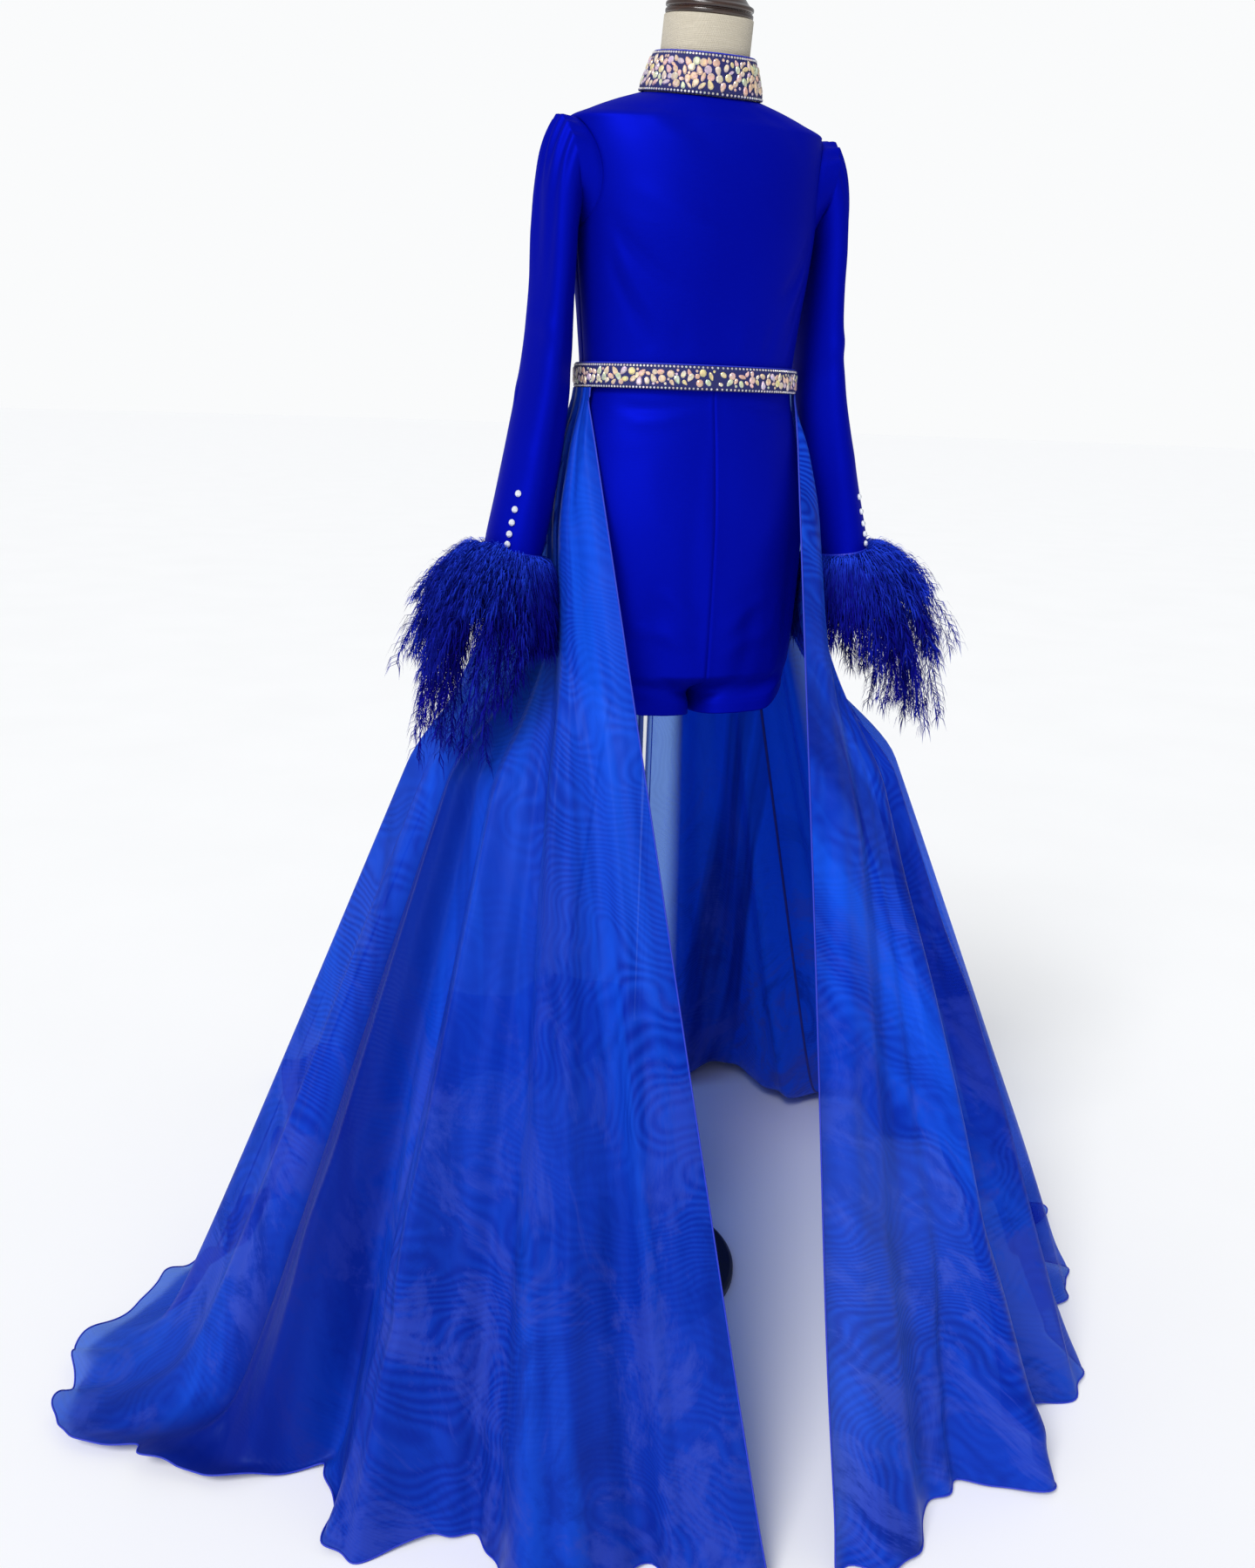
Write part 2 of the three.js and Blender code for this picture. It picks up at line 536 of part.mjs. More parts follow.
// ---- overskirt ---------------------------------------------------------------------------------------
// A point of the overskirt: turn is its angle on the waist and share its distance from waist to hem.
function skirtPoint(turn, share) {
  const read = (column) => readTable(SKIRT, 'turn', column, turn);
  const hug = read('hug');
  const train = read('train');
  const pressed = read('pressed');
  const floor = new THREE.Vector2(read('x'), read('y'));
  const travelled = share * (SKIRT_TOP + train);
  const phase = Math.sin(2 * Math.PI * read('waves'));
  const height = SKIRT_TOP - travelled;
  const hipHeight = THREE.MathUtils.clamp(height, lerp(hug, PRESS_TO, pressed), WAIST);
  const hip = torsoOff(turn, hipHeight, SKIRT_STAND_OFF);
  const easing = SKIRT_HIP_EASE * smoothstep(SKIRT_TOP - height, 0, SKIRT_EASES_OVER);
  const outward = floor.clone().sub(new THREE.Vector2(CENTRE_X, CENTRE_Y)).normalize();
  const gather = SKIRT_GATHER + easing * SKIRT_GATHER_GROWS;
  if (height >= hug) {
    const lift = easing + gather * phase;
    return new THREE.Vector3(hip.x + outward.x * lift, hip.y + outward.y * lift, height);
  }
  const bend = Math.min(TRAIN_BEND, train * 0.5);
  const sunk = 0.5 * (height + Math.sqrt(height * height + bend * bend));
  const released = lerp(1, smoothstep(PRESS_FROM - height, 0, PRESS_FROM - PRESS_TO), pressed);
  const fall = THREE.MathUtils.clamp(1 - sunk / hug, 0, 1) * released;
  const beyond = Math.max(0, sunk - height);
  const amplitude = lerp(gather, read('fold'), fall ** FOLD_OPENS);
  const base = new THREE.Vector2(hip.x, hip.y).addScaledVector(outward, easing).lerp(floor, fall);
  base.addScaledVector(outward, beyond + amplitude * phase);
  const lying = smoothstep(beyond, 0, TRAIN_RIPPLES_OVER);
  const held = 1 - smoothstep(beyond, TRAIN_SETTLES.from, TRAIN_SETTLES.to);
  const z = sunk * held + (TRAIN_RIPPLE * lying * (1 + phase)) / 2;
  return new THREE.Vector3(base.x, base.y, z);
}

function skirtPanel({ name, from, to }) {
  const waveAt = (turn) => readTable(SKIRT, 'turn', 'waves', turn);
  const cells = Math.round((waveAt(to) - waveAt(from)) * SKIRT_COLUMNS_A_WAVE);
  const turns = steps(from + SKIRT_SEAM_TURN, to - SKIRT_SEAM_TURN, cells);
  const normal = (u, v) => {
    const [du, dv] = NORMAL_STEPS.skirt;
    const turn = THREE.MathUtils.clamp(u, SKIRT[0].turn + du, SKIRT[SKIRT.length - 1].turn - du);
    return surfaceNormal(skirtPoint, turn, within(v, 0, 1, dv), du, dv, false);
  };
  const geometry = clothGeometry({
    point: skirtPoint,
    normal,
    us: () => turns,
    vs: SKIRT_ROWS,
    thick: ORGANZA,
    floor: true,
  });
  return mesh(name, geometry, MATERIALS.organza);
}

// ---- feather cuffs -----------------------------------------------------------------------------------
function solidFromGeometry(geometry) {
  const bare = geometry.clone();
  bare.deleteAttribute('normal');
  bare.deleteAttribute('uv');
  const merged = mergeVertices(bare, 1e-4);
  const vertProperties = new Float32Array(merged.attributes.position.array);
  const triVerts = new Uint32Array(merged.index.array);
  return new wasm.Manifold(new wasm.Mesh({ numProp: 3, vertProperties, triVerts }));
}

function geometryFromSolid(solid) {
  const data = solid.getMesh();
  return meshFromTriangles(Array.from(data.vertProperties), Array.from(data.triVerts));
}

// One strand: a three-sided spike along a path of points, thickest at its root.
function strandGeometry(path) {
  const positions = [];
  const indices = [];
  const up = new THREE.Vector3(0, 0, 1);
  path.slice(0, -1).forEach((p, k) => {
    const along = path[k + 1].clone().sub(p).normalize();
    const acrossDir = along.clone().cross(up).normalize();
    const third = acrossDir.clone().cross(along).normalize();
    count(STRAND_SIDES).forEach((c) => {
      const angle = (c * 2 * Math.PI) / STRAND_SIDES;
      const corner = p.clone();
      corner.addScaledVector(acrossDir, STRAND_ROOT * STRAND_THIN[k] * Math.cos(angle));
      corner.addScaledVector(third, STRAND_ROOT * STRAND_THIN[k] * Math.sin(angle));
      positions.push(corner.x, corner.y, corner.z);
    });
  });
  const tip = path[path.length - 1];
  positions.push(tip.x, tip.y, tip.z);
  const rings = path.length - 1;
  for (let k = 0; k + 1 < rings; k += 1) {
    count(STRAND_SIDES).forEach((c) => {
      const a = k * STRAND_SIDES + c;
      const b = k * STRAND_SIDES + ((c + 1) % STRAND_SIDES);
      indices.push(a, b + STRAND_SIDES, b, a, a + STRAND_SIDES, b + STRAND_SIDES);
    });
  }
  const lastRing = (rings - 1) * STRAND_SIDES;
  const next = (c) => lastRing + ((c + 1) % STRAND_SIDES);
  count(STRAND_SIDES).forEach((c) => indices.push(lastRing + c, rings * STRAND_SIDES, next(c)));
  indices.push(0, 1, 2);
  return meshFromTriangles(positions, indices);
}

// Path of a strand from its root on the strip: it leaves the sleeve, drifts away from the body and droops.
function strandPath(side, ring, number, ringNumber) {
  const turn = ((number + ringNumber * 0.5) * 360) / CUFF_STRANDS_A_RING;
  const point = sleevePoint(side);
  const normal = sleeveNormal(side)(turn, ring.along);
  const away = side > 0 ? CUFF_LEAN.left : CUFF_LEAN.right;
  const facing = Math.max(0, normal.x * away.x + normal.y * away.y);
  const swing = Math.sin(number * STRAND_UNEVEN.strand + ringNumber * STRAND_UNEVEN.ring);
  const uneven = 1 - STRAND_UNEVEN.share + STRAND_UNEVEN.share * swing;
  const length = ring.length * lerp(CUFF_SHORTEST, 1, facing) * uneven;
  const root = point(turn, ring.along).addScaledVector(normal, CUFF_STRIP.off + CUFF_STRIP.thick / 2);
  const path = [root];
  ring.rise.forEach((rise, k) => {
    const slope = radians(lerp(Math.min(rise, STRAND_STEEPEST), rise, facing));
    const step = new THREE.Vector3(
      lerp(normal.x, away.x, STRAND_TURN_AWAY[k]),
      lerp(normal.y, away.y, STRAND_TURN_AWAY[k]),
      0,
    );
    step.normalize().multiplyScalar(Math.cos(slope));
    step.z = Math.sin(slope);
    path.push(path[path.length - 1].clone().addScaledVector(step, length / ring.rise.length));
  });
  return path;
}

function featherCuff(name, side) {
  const point = sleevePoint(side);
  const normal = sleeveNormal(side);
  const turns = count(SLEEVE_COLUMNS).map((i) => (360 * i) / SLEEVE_COLUMNS);
  const layer = (along, off) => turns.map((u) => point(u, along).addScaledVector(normal(u, along), off));
  const ends = [CUFF_STRIP.start, CUFF_STRIP.end];
  const outer = ends.map((along) => layer(along, CUFF_STRIP.off + CUFF_STRIP.thick));
  const inner = ends.map((along) => layer(along, CUFF_STRIP.off));
  const strip = wallGeometry(outer, inner, true);
  const solids = [solidFromGeometry(side > 0 ? strip : flipped(strip))];
  CUFF_RINGS.forEach((ring, ringNumber) => {
    count(CUFF_STRANDS_A_RING).forEach((number) => {
      solids.push(solidFromGeometry(strandGeometry(strandPath(side, ring, number, ringNumber))));
    });
  });
  return mesh(name, geometryFromSolid(wasm.Manifold.union(solids)), MATERIALS.feather);
}

// ---- buttons -----------------------------------------------------------------------------------------
function sleeveButton(name, side, along) {
  const foot = sleevePoint(side)(BUTTON_TURN, along);
  const normal = sleeveNormal(side)(BUTTON_TURN, along);
  const profile = [
    new THREE.Vector2(0, 0),
    new THREE.Vector2(BUTTON_RADIUS, 0),
    new THREE.Vector2(BUTTON_RADIUS * BUTTON_TABLE, BUTTON_HEIGHT),
    new THREE.Vector2(0, BUTTON_HEIGHT),
  ];
  const button = mesh(name, new THREE.LatheGeometry(profile, BUTTON_SIDES), MATERIALS.rhinestone);
  button.position.copy(foot.addScaledVector(normal, SEAM_GAP));
  button.quaternion.setFromUnitVectors(new THREE.Vector3(0, 1, 0), normal);
  return button;
}

// ---- dress form --------------------------------------------------------------------------------------
function formOffset(height) {
  const below = smoothstep(height, FORM_ARMHOLE_FROM, FORM_ARMHOLE_FROM + FORM_ARMHOLE_BLEND.below);
  const above = 1 - smoothstep(height, FORM_ARMHOLE_TO - FORM_ARMHOLE_BLEND.above, FORM_ARMHOLE_TO);
  const atHip = 1 - smoothstep(height, WAIST - FORM_HIP_BLEND, WAIST);
  return -(CLOTH + FORM_CLEARANCE + FORM_DEEPER_AT_ARMHOLE * below * above + FORM_DEEPER_AT_HIP * atHip);
}

function neckRing({ along, wide, deep }, turn) {
  const start = TORSO[TORSO.length - 1];
  const ring = ringPoint(turn, wide, deep);
  const lean = radians(NECK_LEAN);
  return new THREE.Vector3(
    CENTRE_X + ring.x,
    CENTRE_Y - start.forward + ring.y - along * Math.sin(lean),
    NECK_EDGE + start.tilt * ring.y + along * Math.cos(lean),
  );
}

function formTorso() {
  const turns = count(HALF_COLUMNS * 2).map((i) => (i * 180) / HALF_COLUMNS);
  const footPoint = ({ height, wide, deep }, turn) => {
    const ring = ringPoint(turn, wide, deep);
    return new THREE.Vector3(CENTRE_X + ring.x, CENTRE_Y + ring.y, height);
  };
  const foot = FORM_FOOT.map((row) => turns.map((turn) => footPoint(row, turn)));
  const body = FORM_LEVELS.map((height) => turns.map((turn) => torsoOff(turn, height, formOffset(height))));
  const neck = NECK.map((row) => turns.map((turn) => neckRing(row, turn)));
  return mesh('form_torso', closedStack([...foot, ...body, ...neck]), MATERIALS.linen);
}

// A closed solid through rings of points, with flat fans over the first and last ring.
function closedStack(rings) {
  const columns = rings[0].length;
  const positions = rings.flat().flatMap((p) => [p.x, p.y, p.z]);
  const indices = [];
  for (let j = 0; j + 1 < rings.length; j += 1) {
    for (let i = 0; i < columns; i += 1) {
      const n = (i + 1) % columns;
      const a = j * columns + i;
      const b = j * columns + n;
      indices.push(a, b + columns, b, a, a + columns, b + columns);
    }
  }
  const addFan = (ring, first, flip) => {
    const middle = ring.reduce((sum, p) => sum.add(p), new THREE.Vector3()).divideScalar(columns);
    const index = positions.push(middle.x, middle.y, middle.z) / 3 - 1;
    for (let i = 0; i < columns; i += 1) {
      const n = first + ((i + 1) % columns);
      if (flip) indices.push(index, n, first + i);
      else indices.push(index, first + i, n);
    }
  };
  addFan(rings[0], 0, false);
  addFan(rings[rings.length - 1], (rings.length - 1) * columns, true);
  return meshFromTriangles(positions, indices);
}

function neckCap() {
  const cap = upright('form_neck_cap', CAP_PROFILE, CAP_SEGMENTS, MATERIALS.wood);
  const start = TORSO[TORSO.length - 1];
  const lean = radians(NECK_LEAN);
  const rise = NECK_TOP + SEAM_GAP;
  cap.rotation.x = Math.PI / 2 + Math.atan(start.tilt);
  cap.position.set(
    CENTRE_X,
    CENTRE_Y - start.forward - rise * Math.sin(lean),
    NECK_EDGE + rise * Math.cos(lean),
  );
  return cap;
}

// ---- stand -------------------------------------------------------------------------------------------
function upright(name, profile, segments, material) {
  const points = profile.map(([radius, height]) => new THREE.Vector2(radius, height));
  const turned = mesh(name, new THREE.LatheGeometry(points, segments), material);
  turned.rotation.x = Math.PI / 2;
  return turned;
}

function standBase() {
  return upright('stand_base', [
    [0, 0],
    [BASE_RADIUS, 0],
    [BASE_RADIUS, BASE_THICK - BASE_BEVEL.high],
    [BASE_RADIUS - BASE_BEVEL.wide, BASE_THICK],
    [BASE_BOSS_RADIUS, BASE_THICK],
    [BASE_BOSS_RADIUS, BASE_BOSS_TOP],
    [0, BASE_BOSS_TOP],
  ], ROUND_SEGMENTS, MATERIALS.blackMetal);
}

function standTube() {
  return upright('stand_tube', [
    [0, BASE_BOSS_TOP + SEAM_GAP],
    [TUBE_RADIUS, BASE_BOSS_TOP + SEAM_GAP],
    [TUBE_RADIUS, HUB_LOW - SEAM_GAP],
    [0, HUB_LOW - SEAM_GAP],
  ], TUBE_SEGMENTS, MATERIALS.blackMetal);
}

function standHub() {
  const clamp = upright('stand_hub', [
    [0, HUB_LOW],
    [HUB_RADIUS - HUB_FOOT.wide, HUB_LOW],
    [HUB_RADIUS, HUB_LOW + HUB_FOOT.high],
    [HUB_RADIUS, HUB_HIGH - HUB_SHOULDER.high],
    [HUB_RADIUS - HUB_SHOULDER.wide, HUB_HIGH],
    [0, HUB_HIGH],
  ], TUBE_SEGMENTS, MATERIALS.blackMetal);
  const knob = upright('stand_knob', KNOB_PROFILE, KNOB_SEGMENTS, MATERIALS.blackMetal).geometry;
  knob.rotateZ(radians(KNOB_TURN - 90));
  knob.translate(0, 0, (HUB_LOW + HUB_HIGH) / 2);
  const body = clamp.geometry.clone().rotateX(Math.PI / 2);
  const joined = solidFromGeometry(body).add(solidFromGeometry(knob));
  return mesh('stand_hub', geometryFromSolid(joined), MATERIALS.blackMetal);
}

function standRod() {
  return upright('stand_rod', [
    [0, HUB_HIGH + SEAM_GAP],
    [ROD_RADIUS, HUB_HIGH + SEAM_GAP],
    [ROD_RADIUS, FORM_BOTTOM - SEAM_GAP],
    [0, FORM_BOTTOM - SEAM_GAP],
  ], ROUND_SEGMENTS, MATERIALS.chrome);
}

// ---- assembly ----------------------------------------------------------------------------------------
function mesh(name, geometry, material) {
  const made = new THREE.Mesh(geometry, material);
  made.name = name;
  return made;
}

function flipped(geometry) {
  const index = geometry.index;
  for (let k = 0; k < index.count; k += 3) {
    const second = index.getX(k + 1);
    index.setX(k + 1, index.getX(k + 2));
    index.setX(k + 2, second);
  }
  return geometry;
}

const dress = new THREE.Group();
dress.add(
  standBase(),
  standTube(),
  standHub(),
  standRod(),
  formTorso(),
  neckCap(),
  bodicePanel('bodice_front', 0, 180, true, true, HALF_COLUMNS),
  bodicePanel('bodice_back_right', 180, 270, true, false, HALF_COLUMNS / 2),
  bodicePanel('bodice_back_left', 270, 360, false, true, HALF_COLUMNS / 2),
  shortsPanel('shorts_front_right', -1, 1),
  shortsPanel('shorts_front_left', 1, 1),
  shortsPanel('shorts_back_right', -1, -1),
  shortsPanel('shorts_back_left', 1, -1),
  sleeve('sleeve_right', -1),
  sleeve('sleeve_left', 1),
  collar(),
  belt(),
  featherCuff('feather_cuff_right', -1),
  featherCuff('feather_cuff_left', 1),
  ...SKIRT_PANELS.map(skirtPanel),
  ...BUTTON_ALONG.map((along, i) => sleeveButton(`button_right_${i + 1}`, -1, along)),
  ...BUTTON_ALONG.map((along, i) => sleeveButton(`button_left_${i + 1}`, 1, along)),
);

export default dress;
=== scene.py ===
"""A pageant dress on a limbless dress form.

Satin romper with a stone-set collar and belt, feather cuffs and a sheer organza overskirt. Shapes are
worked out in millimetres, with turn 0 at the wearer's left, 90 in front, 180 at the right, 270 behind.
"""
import math

import bpy
import numpy as np
from mathutils import Matrix, Vector


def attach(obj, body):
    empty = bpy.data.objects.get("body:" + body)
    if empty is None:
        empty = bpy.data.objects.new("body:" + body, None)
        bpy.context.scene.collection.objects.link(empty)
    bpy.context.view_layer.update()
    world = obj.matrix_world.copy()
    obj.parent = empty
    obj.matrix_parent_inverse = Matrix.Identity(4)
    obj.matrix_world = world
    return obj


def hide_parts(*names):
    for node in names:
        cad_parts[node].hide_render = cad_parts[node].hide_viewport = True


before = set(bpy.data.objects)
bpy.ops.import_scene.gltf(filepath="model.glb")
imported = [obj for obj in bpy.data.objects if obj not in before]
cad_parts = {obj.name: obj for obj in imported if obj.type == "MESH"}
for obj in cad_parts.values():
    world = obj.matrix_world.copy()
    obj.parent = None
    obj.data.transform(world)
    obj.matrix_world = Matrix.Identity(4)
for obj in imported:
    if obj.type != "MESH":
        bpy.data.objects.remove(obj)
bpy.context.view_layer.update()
draw = np.random.default_rng(11)


# ---- tables of the garment's form ----------------------------------------------------------------------
def table(columns, *rows):
    return dict(zip(columns.split(), np.array(rows, float).T))


MM = 0.001
SIDES = (("right", -1), ("left", 1))
UPRIGHT = np.array([0, 0, 1.0])
CENTRE = np.array([23.0, -30.0])
TORSO = table(
    "height wide deep forward tilt",
    (758, 123, 93, 0, 0), (797, 128, 96, 0, 0), (850, 133, 99, 0, 0), (950, 137, 101, 0, 0),
    (1040, 127, 92, 0, 0), (1108, 115, 82, 0, 0), (1165, 119, 87, 1, 0), (1220, 125, 93, 3, 0),
    (1255, 128, 96, 4, 0.01), (1290, 131, 93, 4, 0.02), (1330, 134, 86, 4, 0.05),
    (1356, 134, 76, 4, 0.08), (1367, 112, 68.5, 5, 0.11), (1377, 86, 62, 6, 0.14),
    (1385, 59.5, 55, 8, 0.17),
)
WAIST, HIP_SEAM, NECK_EDGE = 1108, 830, 1385
ARMHOLE_MIDDLE, ARMHOLE_REACH, ARMHOLE_TURN = 1305, 51, 30
SLEEVE = table(
    "at out height forward lean wide deep",
    (0, 139.5, 1312, 4, 78, 45, 46), (1, 146.5, 1284, 4, 42, 27, 47), (2, 149.5, 1250, 4, 14, 21, 46),
    (3, 150.5, 1210, 3, 3, 21, 44), (4, 153, 1160, 2, 2, 22.5, 43), (5, 158, 1105, 2, 5, 25.5, 44),
    (6, 167, 1050, 3, 7, 28, 45.5), (7, 180, 985, 5, 9, 29.5, 46.5), (8, 189, 945, 7, 10, 30, 46),
    (9, 194, 918, 8, 10, 28.5, 44.5),
)
SLEEVE_END = 9
HEM_INNER, HEM_FRONT, HEM_SIDE = 758, 763, 799
SKIRT = table(
    "turn x y hug pressed train fold waves",
    (163, -30, -515, 1085, 0, 0, 5, 0), (169, -190, -480, 1070, 0.4, 0, 24, 1),
    (177, -350, -375, 1060, 1, 0, 34, 2), (187, -455, -235, 1060, 1, 20, 36, 3),
    (196, -528, -112, 1060, 1, 140, 10, 4), (207, -562, 0, 1075, 0.6, 95, 8, 5.2),
    (220, -482, 158, 1070, 0, 30, 8, 6.6), (236, -385, 300, 1070, 0, 45, 11, 8),
    (253, -220, 430, 1060, 0, 250, 26, 9.4), (270, 20, 480, 1060, 0, 370, 34, 10.7),
    (288, 240, 430, 1060, 0, 310, 36, 11.9), (306, 420, 300, 1060, 0, 200, 36, 13),
    (324, 520, 130, 1050, 0, 90, 34, 14.1), (340, 545, -50, 1030, 0.6, 30, 32, 15.2),
    (354, 525, -200, 1045, 1, 0, 30, 16.3), (366, 388, -380, 1045, 1, 0, 32, 17.4),
    (377, 250, -480, 1060, 0.5, 0, 28, 18.5), (387, 36, -525, 1085, 0, 0, 5, 19.5),
)
SKIRT_TOP, SKIRT_OFF, PRESS_FROM, PRESS_TO = 1099.6, 5.2, 885, 690
SKIRT_START, SKIRT_FINISH = 163, 387
GATHER, EASING, EASING_LENGTH = 1.2, 3, 60
FLOOR_BEND, LYING_WAVE = 46, 6.5
LEG_OUT, LEG_WIDE, LEG_DEEP, LEG_SQUARE_INSIDE, LEG_SQUARE = 60.75, 60.3, 86, 4.0, 2.2
NECK_LEAN, NECK_TILT, NECK_FORWARD = math.radians(12), 0.17, 8
COLLAR_HIGH, COLLAR_LONG, COLLAR_FOOT, COLLAR_TOP = 36, 345, (60.7, 56.2), (48.5, 49.5)
BELT_LOW, BELT_HIGH, BELT_LONG, BELT_WIDE, BELT_DEEP = 1100, 23.5, 640, 118.7, 85.7
SATIN_THICK, STRIP_THICK, CUFF_STRIP_THICK = 0.8, 2.0, 1.0
# Small steps over a surface, from which its outward direction is taken, and how near its ends they go.
TORSO_STEPS, SHORTS_STEPS, TURN_STEPS = (0.4, 0.25), (0.004, 0.4), (0.5, 0.02)
TORSO_TOP, SLEEVE_LIMITS, WALL_LIMITS = NECK_EDGE - 0.3, (-0.97, SLEEVE_END - 0.05), (0.02, 0.98)
ANYWHERE = 9e9


# ---- numbers -------------------------------------------------------------------------------------------
def read(rows, key, column, at):
    """A table's column on a smooth curve that stays between neighbouring rows."""
    x, y = rows[key], rows[column]
    at = np.clip(at, x[0], x[-1])
    row = np.clip(np.searchsorted(x, at, side="right") - 1, 0, len(x) - 2)
    width = np.diff(x)
    slope = np.diff(y) / width
    product = slope[:-1] * slope[1:]
    total = np.where(product > 0, slope[:-1] + slope[1:], 1)
    tangent = np.concatenate([slope[:1], np.where(product > 0, 2 * product / total, 0), slope[-1:]])
    u = (at - x[row]) / width[row]
    bend = (1 - u) * tangent[row] - u * tangent[row + 1]
    return y[row] + (y[row + 1] - y[row]) * u * u * (3 - 2 * u) + width[row] * u * (1 - u) * bend


def look_up(rows, key, at, names):
    return [read(rows, key, name, at) for name in names.split()]


def blend(a, b, share):
    return a + (b - a) * share


def ease(value, start, end):
    share = np.clip((value - start) / (end - start), 0, 1)
    return share * share * (3 - 2 * share)


def unit(vectors):
    return vectors / np.maximum(np.linalg.norm(vectors, axis=-1, keepdims=True), 1e-9)


def signed_power(value, power):
    return np.sign(value) * np.abs(value) ** power


def ring(turn, wide, deep, squareness=2.25):
    angle = np.radians(turn)
    power = 2 / squareness
    return wide * signed_power(np.cos(angle), power), -deep * signed_power(np.sin(angle), power)


def facing(surface, u, v, du, dv, sign):
    """A surface's outward direction, by small steps to both sides."""
    along = surface(u + du, v) - surface(u - du, v)
    across = surface(u, v + dv) - surface(u, v - dv)
    return sign * unit(np.cross(along, across))


def spot_on(surface, turn, along, limits, sign):
    """A point on a surface, its outward direction there and the level way round it."""
    u, v = np.array([turn]), np.array([along])
    out = facing(surface, u, np.clip(v, *limits), *TURN_STEPS, sign)[0]
    return surface(u, v)[0], out, unit(np.cross(UPRIGHT, out))


def grid(us, vs):
    return np.meshgrid(np.asarray(us, float), np.asarray(vs, float))


# ---- surfaces ------------------------------------------------------------------------------------------
def torso(turn, height):
    wide, deep, forward, tilt = look_up(TORSO, "height", height, "wide deep forward tilt")
    x, y = ring(turn, wide, deep)
    return np.stack([CENTRE[0] + x, CENTRE[1] - forward + y, height + tilt * y], -1)


def torso_off(turn, height, off):
    outward = facing(torso, turn, np.minimum(height, TORSO_TOP), *TORSO_STEPS, -1)
    return torso(turn, height) + np.asarray(off)[..., None] * outward


def armhole_turn(height):
    share = np.clip((height - ARMHOLE_MIDDLE) / ARMHOLE_REACH, -1, 1)
    return ARMHOLE_TURN * np.sqrt(1 - share * share)


def shorts_turn(side, face, share):
    """The turn on the body, at a share of the way from the centre seam to the side seam."""
    return 90 - side * 90 * share if face > 0 else 270 + side * 90 * share


def leg(side, face, share, row):
    """A half of the shorts below the hip seam, closing round its own leg."""
    front = blend(HEM_INNER, HEM_FRONT, np.minimum(1, share * 2))
    height = blend(HIP_SEAM, blend(front, HEM_SIDE, ease(share, 0.45, 1)), row)
    upper = torso(shorts_turn(side, face, share), np.maximum(height, TORSO["height"][0]))
    squareness = blend(LEG_SQUARE_INSIDE, LEG_SQUARE, ease(share, 0.3, 0.7))
    x, y = ring(180 * (1 - share), LEG_WIDE, LEG_DEEP, squareness)
    lower = np.stack([CENTRE[0] + side * (LEG_OUT + x), CENTRE[1] + face * y, height], -1)
    return blend(upper, lower, ease(row, 0.32, 0.86)[..., None])


def shorts(side, face):
    def surface(share, level):
        above = torso(shorts_turn(side, face, share), np.maximum(level, HIP_SEAM))
        row = (HIP_SEAM - np.minimum(level, HIP_SEAM)) / (HIP_SEAM - HEM_INNER)
        return np.where((level >= HIP_SEAM)[..., None], above, leg(side, face, share, row))

    return surface


def sleeve(side):
    """A sleeve: turn is the angle round it, along runs from -1 at the armhole's seam to 9 at the hem."""
    def surface(turn, along):
        angle = np.radians(turn)
        names = "out height forward lean wide deep"
        out, height, forward, lean, wide, deep = look_up(SLEEVE, "at", np.maximum(along, 0), names)
        lean = np.radians(lean)
        across = wide * np.cos(angle)
        down = np.stack([
            CENTRE[0] + side * (out + across * np.cos(lean)),
            CENTRE[1] - forward - deep * np.sin(angle),
            height + across * np.sin(lean),
        ], -1)
        level = ARMHOLE_MIDDLE + ARMHOLE_REACH * 1.02 * np.cos(angle)
        aside = ARMHOLE_TURN * 1.04 * np.sin(angle)
        edge = torso_off(aside if side > 0 else 180 - aside, level, np.full_like(level, -0.9))
        return blend(edge, down, np.clip(along + 1, 0, 1)[..., None])

    return surface


def hem_place(turn):
    return np.stack(look_up(SKIRT, "turn", turn, "x y"), -1)


def skirt(turn, share):
    """The overskirt: turn is the angle on the waist, share the distance from waist to hem."""
    hug, pressed, train, fold, waves = look_up(SKIRT, "turn", turn, "hug pressed train fold waves")
    floor = hem_place(turn)
    outward = unit(floor - CENTRE)
    height = SKIRT_TOP - share * (SKIRT_TOP + train)
    phase = np.sin(2 * np.pi * waves)
    at_hip = np.clip(height, blend(hug, PRESS_TO, pressed), WAIST)
    hip = torso_off(turn, at_hip, np.full_like(height, SKIRT_OFF))
    easing = EASING * ease(SKIRT_TOP - height, 0, EASING_LENGTH)
    gather = GATHER + easing * 0.6
    lift = easing + gather * phase
    upper = np.concatenate([hip[..., :2] + outward * lift[..., None], height[..., None]], -1)
    bend = np.minimum(FLOOR_BEND, train * 0.5)
    sunk = 0.5 * (height + np.sqrt(height * height + bend * bend))
    released = blend(1, ease(PRESS_FROM - height, 0, PRESS_FROM - PRESS_TO), pressed)
    fall = np.clip(1 - sunk / hug, 0, 1) * released
    beyond = np.maximum(0, sunk - height)
    small = narrow_folds(waves, share) * calm(turn) * np.clip(fall, 0, 1) ** 1.3
    amplitude = blend(gather, fold, fall**1.15) * phase + small
    base = blend(hip[..., :2] + outward * easing[..., None], floor, fall[..., None])
    base = base + outward * (beyond + amplitude)[..., None]
    z = sunk * (1 - ease(beyond, 30, 160)) + LYING_WAVE * ease(beyond, 0, 120) * (1 + phase)
    lower = np.concatenate([base, z[..., None]], -1)
    return np.where((height >= hug)[..., None], upper, lower)


def calm(turn):
    """How much of the small waves shows: the wearer's right side falls smoothly into the train."""
    return 1 - 0.85 * ease(turn, 190, 200) * (1 - ease(turn, 246, 258))


